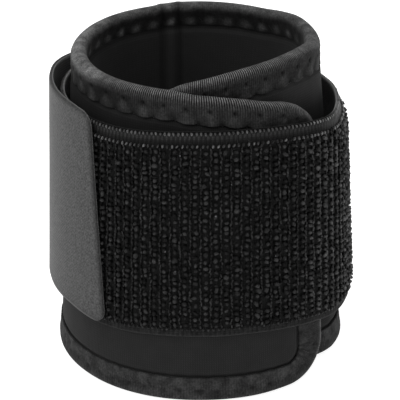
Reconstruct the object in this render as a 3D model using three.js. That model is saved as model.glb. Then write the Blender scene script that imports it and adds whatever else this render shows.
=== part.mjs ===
// Wrist wrap: a bound foam panel rolled into a cone with overlapping ends, and a pile
// elastic strap that goes round it and closes on itself with a hook tab.
// Units are millimetres and +Z is up. Angles run counter-clockwise seen from above:
// 0 is right, 90 is behind, 270 is the front, and a second turn goes on past 360.

import * as THREE from 'three';
import { LoftGeometry } from 'three/addons/geometries/LoftGeometry.js';
import { mergeVertices } from 'three/addons/utils/BufferGeometryUtils.js';

// Panel: flat size over its binding, and the cone that its main turn is rolled to. Its cut
// edge is a share of the pinched thickness, and the slope out of the pinch runs in by a
// multiple of its rise.
const PANEL_LENGTH = 234.8;
const PANEL_HEIGHT = 72.4;
const PANEL_END_ANGLE = 686.5;
const CORNER_RADIUS = 10;
const FOAM_THICKNESS = 3.2;
const PINCHED_THICKNESS = 2.2;
const CUT_EDGE_SHARE = 0.64;
const PINCH_RUN = 1.6;
const LOW_RADIUS = 29.5;
const HIGH_RADIUS = 24.2;
const PANEL_LEAN = 1;

// Binding tape, folded over the panel's edge
const BOUND_THICKNESS = 4;
const LOW_LAP = 5.9;
const HIGH_LAP = 6.2;
const END_LAP = 7.4;
const TAPE_THICKNESS = 0.6;

// Strap: pile elastic between two woven selvedges
const STRAP_WIDTH = 50;
const STRAP_LENGTH = 202;
const STRAP_START_ANGLE = 140;
const SELVEDGE_WIDTH = 3.5;
const SELVEDGE_THICKNESS = 1;
const PILE_THICKNESS = 1.7;

// Hook tab, sewn end to end with the strap
const TAB_LENGTH = 69;
const TAB_THICKNESS = 1;
const TAB_CORNER_RADIUS = 3;
const TAB_SLANT = 4.7;

// Clearances
const SEWN_GAP = 0.3;
const PLY_GAP = 0.35;

// Facets: columns along a turn, steps round a corner, rows up the open foam and the strap,
// columns between a panel end and its binding's lap, as shares of it, and columns through
// the tab's corner, as shares of its radius. Upright edges take fewer than the long ones.
const COLUMNS_PER_TURN = 50;
const CORNER_STEPS = 6;
const FOAM_ROWS = 3;
const STRAP_ROWS = 5;
const UNDER_LAP_COLUMNS = [ 0.33, 0.63 ];
const TAB_CORNER_COLUMNS = [ 1, 0.7, 0.3, 0.08, 0 ];
const UPRIGHT_COARSENESS = 2.5;
const WELD_DISTANCE = 1e-4;

const FOLD_INSET = TAPE_THICKNESS + SEWN_GAP;
const PLY_PITCH = BOUND_THICKNESS + PLY_GAP;
const PANEL_MEAN_RADIUS = (LOW_RADIUS + HIGH_RADIUS + BOUND_THICKNESS) / 2;
const STRAP_MEAN_RADIUS = LOW_RADIUS + BOUND_THICKNESS + PILE_THICKNESS / 2;
const COLUMN_ANGLE = 2 * Math.PI / COLUMNS_PER_TURN;

// How the panel leaves its cone. lowStep and highStep move its low and high edges out,
// in plies; lowLift and highLift raise them, as shares of the panel's height.
const PANEL_ROUTE = [
	{ angle: 228, lowStep: -1.05, highStep: -1.22, lowLift: 0.036, highLift: -0.050 },
	{ angle: 253, lowStep: -1.05, highStep: -1.20, lowLift: 0.040, highLift: -0.024 },
	{ angle: 262, lowStep: -1.05, highStep: -0.95, lowLift: 0.042, highLift: 0.003 },
	{ angle: 273, lowStep: -1.04, highStep: -0.66, lowLift: 0.043, highLift: 0.026 },
	{ angle: 294, lowStep: -1.02, highStep: -0.50, lowLift: 0.042, highLift: 0.053 },
	{ angle: 310, lowStep: -0.95, highStep: -0.35, lowLift: 0.036, highLift: 0.063 },
	{ angle: 326, lowStep: -0.74, highStep: -0.20, lowLift: 0.022, highLift: 0.067 },
	{ angle: 333, lowStep: -0.36, highStep: -0.12, lowLift: 0.020, highLift: 0.066 },
	{ angle: 341, lowStep: -0.08, highStep: -0.06, lowLift: 0.025, highLift: 0.061 },
	{ angle: 352, lowStep: 0.00, highStep: 0.00, lowLift: 0.026, highLift: 0.046 },
	{ angle: 375, lowStep: 0.00, highStep: 0.00, lowLift: 0.012, highLift: 0.043 },
	{ angle: 388, lowStep: 0.00, highStep: 0.02, lowLift: 0.004, highLift: 0.041 },
	{ angle: 402, lowStep: 0.00, highStep: 0.04, lowLift: 0.000, highLift: 0.030 },
	{ angle: 416, lowStep: 0.00, highStep: 0.03, lowLift: 0.000, highLift: 0.020 },
	{ angle: 450, lowStep: 0.00, highStep: 0.00, lowLift: 0.000, highLift: 0.0178 },
	{ angle: 462, lowStep: 0.00, highStep: 0.00, lowLift: 0.000, highLift: 0.017 },
	{ angle: 475, lowStep: 0.00, highStep: 0.00, lowLift: 0.000, highLift: 0.012 },
	{ angle: 500, lowStep: 0.00, highStep: 0.03, lowLift: 0.000, highLift: 0.013 },
	{ angle: 540, lowStep: 0.00, highStep: 0.05, lowLift: 0.000, highLift: 0.011 },
	{ angle: 570, lowStep: 0.10, highStep: -0.06, lowLift: 0.000, highLift: 0.006 },
	{ angle: 600, lowStep: 0.24, highStep: -0.18, lowLift: 0.000, highLift: 0.004 },
	{ angle: 616, lowStep: 0.28, highStep: -0.12, lowLift: 0.000, highLift: 0.004 },
	{ angle: 633, lowStep: 0.30, highStep: 0.42, lowLift: 0.000, highLift: 0.002 },
	{ angle: 650, lowStep: 0.32, highStep: 0.60, lowLift: 0.000, highLift: -0.013 },
	{ angle: 666, lowStep: 0.34, highStep: 0.92, lowLift: 0.002, highLift: -0.037 },
	{ angle: 686.5, lowStep: 0.40, highStep: 1.08, lowLift: 0.008, highLift: -0.056 },
];

// How the strap lies round the panel. lowStep and highStep stand its edges off the
// panel's cone, in plies; rise is the height of its low edge, as a share of the panel's
// height; spread is how much of its width shows upright.
const STRAP_ROUTE = [
	{ angle: 140, lowStep: 0.00, highStep: 0.34, rise: 0.200, spread: 0.985 },
	{ angle: 180, lowStep: 0.04, highStep: 0.45, rise: 0.204, spread: 0.985 },
	{ angle: 225, lowStep: 0.14, highStep: 0.56, rise: 0.207, spread: 0.985 },
	{ angle: 240, lowStep: 0.17, highStep: 0.62, rise: 0.212, spread: 0.987 },
	{ angle: 256, lowStep: 0.25, highStep: 0.72, rise: 0.224, spread: 0.988 },
	{ angle: 270, lowStep: 0.33, highStep: 0.78, rise: 0.229, spread: 0.990 },
	{ angle: 285, lowStep: 0.37, highStep: 0.82, rise: 0.229, spread: 0.990 },
	{ angle: 300, lowStep: 0.43, highStep: 0.86, rise: 0.222, spread: 0.990 },
	{ angle: 316, lowStep: 0.54, highStep: 1.02, rise: 0.208, spread: 0.990 },
	{ angle: 328, lowStep: 0.60, highStep: 1.06, rise: 0.194, spread: 0.990 },
	{ angle: 345, lowStep: 0.46, highStep: 0.78, rise: 0.182, spread: 0.985 },
	{ angle: 362, lowStep: 0.38, highStep: 0.61, rise: 0.169, spread: 0.985 },
	{ angle: 392, lowStep: 0.36, highStep: 0.60, rise: 0.157, spread: 0.985 },
	{ angle: 450, lowStep: 0.30, highStep: 0.62, rise: 0.164, spread: 0.985 },
	{ angle: 500, lowStep: 0.48, highStep: 0.92, rise: 0.206, spread: 0.985 },
	{ angle: 540, lowStep: 0.53, highStep: 1.10, rise: 0.241, spread: 0.985 },
	{ angle: 572, lowStep: 0.57, highStep: 1.12, rise: 0.241, spread: 0.990 },
	{ angle: 589, lowStep: 0.60, highStep: 1.12, rise: 0.230, spread: 0.990 },
];

// Cross-section of the binding: distance in from the edge and depth from the inner face,
// as shares of the lap and of the bound thickness
const FOLD_SECTION = [
	{ lap: 1, depth: 0 },
	{ lap: 0.18, depth: 0 },
	{ lap: 0.05, depth: 0.08 },
	{ lap: 0, depth: 0.27 },
	{ lap: 0, depth: 0.73 },
	{ lap: 0.05, depth: 0.92 },
	{ lap: 0.18, depth: 1 },
	{ lap: 1, depth: 1 },
];

// Monotone cubic through one column of a route, held level past both ends
function follow( route, name, angle ) {

	const last = route.length - 1;
	if ( angle <= route[ 0 ].angle ) return route[ 0 ][ name ];
	if ( angle >= route[ last ].angle ) return route[ last ][ name ];

	const i = route.findIndex( ( row ) => row.angle > angle ) - 1;
	const rise = ( k ) => route[ k + 1 ][ name ] - route[ k ][ name ];
	const slope = ( k ) => rise( k ) / ( route[ k + 1 ].angle - route[ k ].angle );
	const tangent = ( k ) => {

		if ( k === 0 || k === last ) return 0;
		const before = slope( k - 1 );
		const after = slope( k );
		return before * after <= 0 ? 0 : 2 * before * after / ( before + after );

	};

	const span = route[ i + 1 ].angle - route[ i ].angle;
	const t = ( angle - route[ i ].angle ) / span;
	const start = route[ i ][ name ];
	const end = route[ i + 1 ][ name ];
	return start * ( 1 + 2 * t ) * ( 1 - t ) ** 2 + tangent( i ) * span * t * ( 1 - t ) ** 2
		+ end * t * t * ( 3 - 2 * t ) - tangent( i + 1 ) * span * t * t * ( 1 - t );

}

function polar( radius, angle, height ) {

	return new THREE.Vector3( radius * Math.cos( angle ), radius * Math.sin( angle ), height );

}

// Place of a flat panel point: distance along, height above the low edge, depth outwards
function windPanel( along, height, depth ) {

	const angle = THREE.MathUtils.degToRad( PANEL_END_ANGLE ) - ( PANEL_LENGTH - along ) / PANEL_MEAN_RADIUS;
	const degrees = THREE.MathUtils.radToDeg( angle );
	const read = ( name ) => follow( PANEL_ROUTE, name, degrees );
	const low = LOW_RADIUS + PLY_PITCH * read( 'lowStep' );
	const high = HIGH_RADIUS + PLY_PITCH * read( 'highStep' );
	const share = height / PANEL_HEIGHT;
	const lift = PANEL_HEIGHT * THREE.MathUtils.lerp( read( 'lowLift' ), read( 'highLift' ), share );
	const point = polar( THREE.MathUtils.lerp( low, high, share ) + depth, angle, height + lift );
	point.x -= PANEL_LEAN * share;
	return point;

}

// Place of a flat strap point: distance along, height above the low edge, depth outwards
function windStrap( along, height, depth ) {

	const angle = THREE.MathUtils.degToRad( STRAP_START_ANGLE ) + along / STRAP_MEAN_RADIUS;
	const degrees = THREE.MathUtils.radToDeg( angle );
	const read = ( name ) => follow( STRAP_ROUTE, name, degrees );
	const share = height / STRAP_WIDTH;
	const z = PANEL_HEIGHT * read( 'rise' ) + height * read( 'spread' );
	const cone = THREE.MathUtils.lerp( LOW_RADIUS, HIGH_RADIUS, z / PANEL_HEIGHT ) + BOUND_THICKNESS;
	const step = THREE.MathUtils.lerp( read( 'lowStep' ), read( 'highStep' ), share );
	return polar( cone + PLY_PITCH * step + depth, angle, z );

}

// Distances from 0 to the length: the given ones near both ends, and even ones between
function stations( length, nearEnds, spacing ) {

	const reach = nearEnds.at( - 1 );
	const open = length - 2 * reach;
	const steps = Math.max( 1, Math.round( open / spacing ) );
	const middle = Array.from( { length: steps - 1 }, ( _, k ) => reach + open * ( k + 1 ) / steps );
	return [ ...nearEnds, ...middle, ...nearEnds.map( ( x ) => length - x ).reverse() ];

}

// How much a rounded corner takes off the height at a distance from the end
function cornerCut( distance, radius ) {

	if ( distance >= radius ) return 0;
	return radius - Math.sqrt( radius ** 2 - ( radius - distance ) ** 2 );

}

// Distance from a point of a rounded rectangle to its outline, and how far the nearest
// stretch of outline belongs to an end (1) and not to a long side (0)
function nearestEdge( x, y, length, height, radius ) {

	const fromEnd = Math.min( x, length - x );
	const fromSide = Math.min( y, height - y );
	if ( fromEnd < radius && fromSide < radius ) {

		const reach = Math.hypot( radius - fromEnd, radius - fromSide );
		return { distance: radius - reach, endwise: ( radius - fromEnd ) / reach };

	}

	return { distance: Math.min( fromEnd, fromSide ), endwise: fromEnd < fromSide ? 1 : 0 };

}

// A block with the given columns and rows, each corner moved by place( column, row, outer )
function blockOf( columns, rows, place ) {

	const box = new THREE.BoxGeometry( 1, 1, 1, columns.length - 1, rows.length - 1, 1 );
	box.deleteAttribute( 'normal' );
	box.deleteAttribute( 'uv' );
	const block = mergeVertices( box, WELD_DISTANCE );
	const position = block.attributes.position;
	for ( let k = 0; k < position.count; k ++ ) {

		const column = Math.round( ( position.getX( k ) + 0.5 ) * ( columns.length - 1 ) );
		const row = Math.round( ( position.getY( k ) + 0.5 ) * ( rows.length - 1 ) );
		const point = place( columns[ column ], rows[ row ], position.getZ( k ) > 0 );
		position.setXYZ( k, point.x, point.y, point.z );

	}

	return block;

}

// How far the binding reaches in: by height along the long sides, and wider at the ends
function lapAt( height, endwise ) {

	const side = THREE.MathUtils.mapLinear( height, 0, PANEL_HEIGHT, LOW_LAP, HIGH_LAP );
	return THREE.MathUtils.lerp( side, END_LAP, endwise );

}

// Foam panel: thinner where the binding pinches it, and full in the open field
function foamPanel() {

	const length = PANEL_LENGTH - 2 * FOLD_INSET;
	const height = PANEL_HEIGHT - 2 * FOLD_INSET;
	const radius = CORNER_RADIUS - FOLD_INSET;
	const bevel = ( FOAM_THICKNESS - PINCHED_THICKNESS ) / 2;
	const ramp = bevel * PINCH_RUN;
	const edge = PINCHED_THICKNESS * CUT_EDGE_SHARE;
	const pinch = ( y, endwise ) => lapAt( y + FOLD_INSET, endwise ) - FOLD_INSET + SEWN_GAP;

	const thickness = ( x, y ) => {

		const { distance, endwise } = nearestEdge( x, y, length, height, radius );
		if ( distance < bevel ) return THREE.MathUtils.mapLinear( distance, 0, bevel, edge, PINCHED_THICKNESS );
		const share = THREE.MathUtils.clamp( ( distance - pinch( y, endwise ) ) / ramp, 0, 1 );
		return THREE.MathUtils.lerp( PINCHED_THICKNESS, FOAM_THICKNESS, share );

	};

	const atEnd = pinch( 0, 1 );
	const atFoot = pinch( 0, 0 );
	const atHead = pinch( height, 0 );
	const underLap = UNDER_LAP_COLUMNS.map( ( share ) => atEnd * share );
	const nearEnds = [ 0, bevel, ...underLap, atEnd, atEnd + ramp, radius + bevel ];
	const columns = stations( length, nearEnds, PANEL_MEAN_RADIUS * COLUMN_ANGLE );
	const low = [ 0, bevel, atFoot, atFoot + ramp ];
	const high = [ atHead + ramp, atHead, bevel, 0 ].map( ( y ) => height - y );
	const middle = Array.from( { length: FOAM_ROWS }, ( _, k ) => height * ( k + 1 ) / ( FOAM_ROWS + 1 ) );
	const rows = [ ...low, ...middle, ...high ];

	return blockOf( columns, rows, ( x, row, outer ) => {

		const cut = cornerCut( Math.min( x, length - x ), radius );
		const y = THREE.MathUtils.mapLinear( row, 0, height, cut, height - cut );
		const half = thickness( x, y ) / 2;
		const depth = BOUND_THICKNESS / 2 + ( outer ? half : - half );
		return windPanel( x + FOLD_INSET, y + FOLD_INSET, depth );

	} );

}

// Points round the panel's flat outline, each with the direction into the panel
function outlineStations() {

	const spacing = PANEL_MEAN_RADIUS * COLUMN_ANGLE;
	const route = [];
	const run = ( x0, y0, x1, y1, inX, inY ) => {

		const coarseness = inX === 0 ? 1 : UPRIGHT_COARSENESS;
		const steps = Math.round( Math.hypot( x1 - x0, y1 - y0 ) / ( spacing * coarseness ) );
		for ( let k = 0; k < steps; k ++ ) {

			const t = k / steps;
			route.push( { x: x0 + ( x1 - x0 ) * t, y: y0 + ( y1 - y0 ) * t, inX, inY } );

		}

	};

	const turn = ( centreX, centreY, from ) => {

		for ( let k = 0; k < CORNER_STEPS; k ++ ) {

			const angle = from + Math.PI / 2 * k / CORNER_STEPS;
			const inX = - Math.cos( angle );
			const inY = - Math.sin( angle );
			route.push( { x: centreX - CORNER_RADIUS * inX, y: centreY - CORNER_RADIUS * inY, inX, inY } );

		}

	};

	const near = CORNER_RADIUS;
	const farX = PANEL_LENGTH - CORNER_RADIUS;
	const farY = PANEL_HEIGHT - CORNER_RADIUS;
	run( near, 0, farX, 0, 0, 1 );
	turn( farX, near, - Math.PI / 2 );
	run( PANEL_LENGTH, near, PANEL_LENGTH, farY, - 1, 0 );
	turn( farX, farY, 0 );
	run( farX, PANEL_HEIGHT, near, PANEL_HEIGHT, 0, - 1 );
	turn( near, farY, Math.PI / 2 );
	run( 0, farY, 0, near, 1, 0 );
	turn( near, near, Math.PI );
	return [ ...route, route[ 0 ] ];

}

// Binding: the folded section carried once round the outline, and closed on itself
function edgeBinding() {

	const outer = FOLD_SECTION.map( ( { lap, depth } ) => ( {
		lap,
		inset: 0,
		depth: depth * BOUND_THICKNESS,
	} ) );
	const inner = FOLD_SECTION.map( ( { lap, depth } ) => ( {
		lap,
		inset: TAPE_THICKNESS * ( 1 - lap ),
		depth: THREE.MathUtils.lerp( TAPE_THICKNESS, BOUND_THICKNESS - TAPE_THICKNESS, depth ),
	} ) );
	const section = [ ...inner, ...outer.reverse() ];
	const sections = outlineStations().map( ( { x, y, inX, inY } ) => section.map( ( { lap, inset, depth } ) => {

		const reach = lap * lapAt( y, Math.abs( inX ) ) + inset;
		return windPanel( x + inX * reach, y + inY * reach, depth );

	} ) );
	return closedBody( new LoftGeometry( sections ) );

}

// Strap: raised pile between thinner selvedges
function elasticStrap() {

	const slope = PILE_THICKNESS - SELVEDGE_THICKNESS;
	const columns = stations( STRAP_LENGTH, [ 0 ], STRAP_MEAN_RADIUS * COLUMN_ANGLE );
	const nearSides = [ 0, SELVEDGE_WIDTH, SELVEDGE_WIDTH + slope ];
	const rows = stations( STRAP_WIDTH, nearSides, STRAP_WIDTH / STRAP_ROWS );
	return blockOf( columns, rows, ( x, y, outer ) => {

		const fromSide = Math.min( y, STRAP_WIDTH - y );
		const share = THREE.MathUtils.clamp( ( fromSide - SELVEDGE_WIDTH ) / slope, 0, 1 );
		const thickness = THREE.MathUtils.lerp( SELVEDGE_THICKNESS, PILE_THICKNESS, share );
		return windStrap( x, y, outer ? thickness : 0 );

	} );

}

// Tab: plain sheet in line with the strap, cut at a slant with small rounded corners
function hookTab() {

	const start = STRAP_LENGTH + SEWN_GAP;
	const nearEnd = TAB_CORNER_COLUMNS.map( ( share ) => TAB_LENGTH - TAB_CORNER_RADIUS * share );
	const along = TAB_LENGTH - TAB_CORNER_RADIUS;
	const steps = Math.round( along / ( STRAP_MEAN_RADIUS * COLUMN_ANGLE ) );
	const columns = [ ...Array.from( { length: steps }, ( _, k ) => along * k / steps ), ...nearEnd ];
	const rows = stations( STRAP_WIDTH, [ 0 ], STRAP_WIDTH / STRAP_ROWS );
	return blockOf( columns, rows, ( x, row, outer ) => {

		const cut = cornerCut( TAB_LENGTH - x, TAB_CORNER_RADIUS );
		const y = THREE.MathUtils.mapLinear( row, 0, STRAP_WIDTH, cut, STRAP_WIDTH - cut );
		const slanted = x * ( 1 - TAB_SLANT * y / STRAP_WIDTH / TAB_LENGTH );
		return windStrap( start + slanted, y, outer ? TAB_THICKNESS : 0 );

	} );

}

// The same surface with its seam vertices shared
function closedBody( geometry ) {

	const body = new THREE.BufferGeometry();
	body.setIndex( geometry.index );
	body.setAttribute( 'position', geometry.attributes.position );
	return mergeVertices( body, WELD_DISTANCE );

}

function piece( name, geometry, colour, roughness ) {

	geometry.computeVertexNormals();
	const material = new THREE.MeshStandardMaterial( { color: colour, roughness, metalness: 0 } );
	const mesh = new THREE.Mesh( geometry, material );
	mesh.name = name;
	return mesh;

}

const wrap = new THREE.Group();
wrap.add( piece( 'neoprene_panel', foamPanel(), 0x2b2b2d, 0.75 ) );
wrap.add( piece( 'edge_binding', edgeBinding(), 0x48484a, 0.9 ) );
wrap.add( piece( 'elastic_strap', elasticStrap(), 0x29292b, 0.95 ) );
wrap.add( piece( 'hook_tab', hookTab(), 0x66666a, 0.7 ) );

// The origin is at the middle of the box, on the surface that the wrap stands on
const box = new THREE.Box3().setFromObject( wrap );
const centre = box.getCenter( new THREE.Vector3() );
wrap.position.set( - centre.x, - centre.y, - box.min.z );

export default wrap;
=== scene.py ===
"""Wrist wrap: a bound foam cuff, closed by a pile elastic strap with a hook tab.

Each cloth is laid out flat first, in millimetres: along it, up it, and outwards from its
inner face. It is then wound round the wrist by the same routes as the fixed frame.
Angles run anticlockwise seen from above: 0 is right, 90 is behind and 270 is the front.
"""

from __future__ import annotations

import logging
import math
from dataclasses import dataclass, field
from enum import Enum

import bpy
import numpy as np
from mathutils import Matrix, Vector

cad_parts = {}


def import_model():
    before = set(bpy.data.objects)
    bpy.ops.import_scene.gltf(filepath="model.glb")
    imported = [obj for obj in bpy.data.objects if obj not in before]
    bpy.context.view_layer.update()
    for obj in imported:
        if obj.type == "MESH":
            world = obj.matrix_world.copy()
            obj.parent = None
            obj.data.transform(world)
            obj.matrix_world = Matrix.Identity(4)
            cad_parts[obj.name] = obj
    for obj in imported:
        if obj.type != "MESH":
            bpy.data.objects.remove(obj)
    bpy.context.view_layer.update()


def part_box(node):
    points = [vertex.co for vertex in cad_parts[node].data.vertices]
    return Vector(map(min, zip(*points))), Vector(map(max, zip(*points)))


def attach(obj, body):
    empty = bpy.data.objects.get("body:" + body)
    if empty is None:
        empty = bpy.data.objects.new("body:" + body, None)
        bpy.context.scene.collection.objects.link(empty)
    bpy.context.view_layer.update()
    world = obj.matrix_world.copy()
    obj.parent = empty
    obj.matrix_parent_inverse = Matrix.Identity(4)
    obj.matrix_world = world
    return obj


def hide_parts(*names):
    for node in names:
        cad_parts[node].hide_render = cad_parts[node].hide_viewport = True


LOG = logging.getLogger("wrist_wrap")
MM = 0.001
Array = np.ndarray
Span = tuple[tuple[float, float], tuple[float, float]]

# Shader sizes: cells or lumps in a metre, and a reach as a share of a cell
WAVER_SCALE = 260.0
LINT_CELLS = 900.0
LINT_REACH = 0.22
LINT_COLOUR = (0.14, 0.14, 0.145, 1.0)

# The fixed strap's own sizes, in millimetres
SOLID_PILE_WIDTH = 41.6
SOLID_SELVEDGE = 1.0


def lerp(start: Array | float, end: Array | float, share: Array | float) -> Array | float:
    """Value that lies the given share of the way from start to end."""
    return start + (end - start) * share


def smooth(value: Array | float, low: float, high: float) -> Array:
    """Smooth step from 0 at low to 1 at high."""
    t = np.clip((value - low) / (high - low), 0.0, 1.0)
    return t * t * (3.0 - 2.0 * t)


def bell(value: Array, middle: Array | float, width: float) -> Array:
    """Bell curve of height 1 round the middle."""
    return np.exp(-(((value - middle) / width) ** 2))


def window(value: Array, rise: tuple[float, float], fall: tuple[float, float]) -> Array:
    """1 over a stretch, with a smooth rise before it and a smooth fall after it."""
    return smooth(value, *rise) * (1.0 - smooth(value, *fall))


def grey(level: float) -> tuple[float, float, float, float]:
    """An opaque grey as a colour."""
    return level, level, level, 1.0


def lumps(along: Array, across: Array, size: float, seed: int) -> Array:
    """Smooth uneven lumps over a flat cloth, about -1 to 1.

    Args:
        along: Distances along the cloth.
        across: Distances across it.
        size: Distance from one lump to the next.
        seed: Seed of the source of chance.

    Returns:
        The height at each point.
    """
    table = np.random.default_rng(seed).uniform(-1, 1, (257, 61))
    u, v = np.broadcast_arrays(along / size, across / size + 30.0)
    i = np.floor(u).astype(int)
    j = np.floor(v).astype(int)
    s = smooth(u - i, 0.0, 1.0)
    t = smooth(v - j, 0.0, 1.0)
    corners = [table[(i + a) % 257, (j + b) % 61] for a, b in ((0, 0), (1, 0), (0, 1), (1, 1))]
    return lerp(lerp(corners[0], corners[1], s), lerp(corners[2], corners[3], s), t)


class Route:
    """Stations round the wrap, each an angle in degrees with some named values."""

    def __init__(self, names: tuple[str, ...], rows: tuple[tuple[float, ...], ...]) -> None:
        table = np.array(rows, float)
        self.angles = table[:, 0]
        self.columns = {name: table[:, k + 1] for k, name in enumerate(names)}

    def read(self, name: str, angle: Array) -> Array:
        """Follow one column with a monotone cubic, held level past both ends.

        Args:
            name: The column's name.
            angle: Angles in degrees.

        Returns:
            The column's value at each angle.
        """
        x = self.angles
        y = self.columns[name]
        slope = np.diff(y) / np.diff(x)
        product = slope[:-1] * slope[1:]
        total = np.where(product > 0, slope[:-1] + slope[1:], 1.0)
        tangent = np.concatenate(([0.0], np.where(product > 0, 2 * product / total, 0.0), [0.0]))
        held = np.clip(angle, x[0], x[-1])
        i = np.clip(np.searchsorted(x, held, side="right") - 1, 0, len(x) - 2)
        span = x[i + 1] - x[i]
        t = (held - x[i]) / span
        start = y[i] * (1 + 2 * t) * (1 - t) ** 2 + tangent[i] * span * t * (1 - t) ** 2
        end = y[i + 1] * t * t * (3 - 2 * t) - tangent[i + 1] * span * t * t * (1 - t)
        return start + end


PANEL_ROUTE = Route(
    ("low_step", "high_step", "low_lift", "high_lift"),
    (
        (228, -1.05, -1.22, 0.036, -0.050),
        (253, -1.05, -1.20, 0.040, -0.024),
        (262, -1.05, -0.95, 0.042, 0.003),
        (273, -1.04, -0.66, 0.043, 0.026),
        (294, -1.02, -0.50, 0.042, 0.053),
        (310, -0.95, -0.35, 0.036, 0.063),
        (326, -0.74, -0.20, 0.022, 0.067),
        (333, -0.36, -0.12, 0.012, 0.066),
        (341, -0.06, -0.06, 0.012, 0.061),
        (352, 0.03, 0.00, 0.012, 0.050),
        (375, 0.02, 0.00, 0.006, 0.043),
        (388, 0.00, 0.02, 0.004, 0.041),
        (402, 0.00, 0.04, 0.000, 0.030),
        (416, 0.00, 0.03, 0.000, 0.020),
        (450, 0.00, 0.00, 0.000, 0.0178),
        (462, 0.00, 0.00, 0.000, 0.017),
        (475, 0.00, 0.00, 0.000, 0.012),
        (500, 0.00, 0.03, 0.000, 0.013),
        (540, 0.00, 0.05, 0.000, 0.011),
        (570, 0.15, -0.06, 0.000, 0.006),
        (600, 0.35, -0.18, 0.000, 0.004),
        (616, 0.39, -0.12, 0.000, 0.004),
        (633, 0.38, 0.42, 0.000, 0.002),
        (650, 0.39, 0.60, 0.000, -0.013),
        (666, 0.35, 0.92, 0.002, -0.037),
        (686.5, 0.36, 1.08, 0.008, -0.056),
    ),
)

STRAP_ROUTE = Route(
    ("low_step", "high_step", "rise", "spread"),
    (
        (140, 0.00, 0.34, 0.200, 0.985),
        (180, 0.04, 0.45, 0.204, 0.985),
        (225, 0.14, 0.56, 0.207, 0.985),
        (240, 0.17, 0.62, 0.212, 0.987),
        (256, 0.25, 0.72, 0.224, 0.988),
        (270, 0.33, 0.78, 0.229, 0.990),
        (285, 0.37, 0.82, 0.229, 0.990),
        (300, 0.43, 0.86, 0.222, 0.990),
        (316, 0.54, 1.02, 0.208, 0.990),
        (328, 0.60, 1.06, 0.194, 0.990),
        (345, 0.46, 0.78, 0.182, 0.985),
        (362, 0.38, 0.61, 0.169, 0.985),
        (392, 0.36, 0.60, 0.157, 0.985),
        (450, 0.30, 0.62, 0.164, 0.985),
        (500, 0.48, 0.92, 0.206, 0.985),
        (540, 0.53, 1.10, 0.241, 0.985),
        (572, 0.57, 1.12, 0.241, 0.990),
        (589, 0.60, 1.12, 0.230, 0.990),
    ),
)


@dataclass(frozen=True)
class Roll:
    """The cone that the wrap is rolled to, shared by the panel and the strap."""

    low_radius: float = 29.5
    high_radius: float = 24.2
    panel_height: float = 72.4
    bound_thickness: float = 4.0
    ply_gap: float = 0.35
    lean: float = 1.0
    shift: tuple[float, float] = (0.0, 0.0)

    @property
    def middle(self) -> float:
        """Depth of a ply's middle from its inner face, over the binding."""
        return self.bound_thickness / 2

    @property
    def ply_pitch(self) -> float:
        """Distance from one ply to the next."""
        return self.bound_thickness + self.ply_gap

    def in_frame(self, radius: Array, angle: Array, height: Array, lean: Array | float) -> Array:
        """Turn a radius, an angle in degrees and a height into points of the frame.

        Args:
            radius: Distances from the axis, in millimetres.
            angle: Angles in degrees.
            height: Heights in millimetres.
            lean: How far each point leans to the left, in millimetres.

        Returns:
            Points in metres, with a last axis of 3.
        """
        turn = np.radians(angle)
        x = radius * np.cos(turn) - lean + self.shift[0]
        y = radius * np.sin(turn) + self.shift[1]
        return np.stack(np.broadcast_arrays(x, y, height), axis=-1) * MM


@dataclass(frozen=True)
class PanelWinding:
    """Winds the flat panel: its main turn on the cone, its ends stepped off it."""

    roll: Roll
    length: float = 234.8
    end_angle: float = 686.5
    crease_angles: tuple[float, ...] = (459.2, 468.2)
    crease_depth: float = 0.36
    crease_width: float = 1.6

    def angle(self, along: Array) -> Array:
        """Angle in degrees at a distance along the flat panel."""
        mean = (self.roll.low_radius + self.roll.high_radius + self.roll.bound_thickness) / 2
        return self.end_angle - np.degrees((self.length - along) / mean)

    def crease(self, angle: Array) -> Array:
        """How far the old folds pull the wall in, in millimetres."""
        return sum(self.crease_depth * bell(angle, at, self.crease_width) for at in self.crease_angles)

    def crease_painted_shade(self, along: Array) -> Array:
        """Tone of the inner cloth: painted shade down in the old folds and painted light between them.

        Args:
            along: Distances along the panel.

        Returns:
            The tone at each point.
        """
        angle = self.angle(along)
        # Painted shade in the folds, painted light on the cloth between them.
        folds = sum(bell(angle, at, 1.8) for at in self.crease_angles)
        between = bell(angle, sum(self.crease_angles) / len(self.crease_angles), 2.6)
        return 1.0 - 0.55 * folds + 0.25 * between

    def place(self, along: Array, height: Array, depth: Array) -> Array:
        """Points of the frame for flat panel points.

        Args:
            along: Distances along the panel.
            height: Heights above its low edge.
            depth: Distances outwards from its inner face.

        Returns:
            Points in metres.
        """
        roll = self.roll
        angle = self.angle(along)
        share = height / roll.panel_height
        low = roll.low_radius + roll.ply_pitch * PANEL_ROUTE.read("low_step", angle)
        high = roll.high_radius + roll.ply_pitch * PANEL_ROUTE.read("high_step", angle)
        low_lift = PANEL_ROUTE.read("low_lift", angle)
        high_lift = PANEL_ROUTE.read("high_lift", angle)
        lift = roll.panel_height * lerp(low_lift, high_lift, share)
        radius = lerp(low, high, share) + depth + self.crease(angle)
        return roll.in_frame(radius, angle, height + lift, roll.lean * share)


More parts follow.
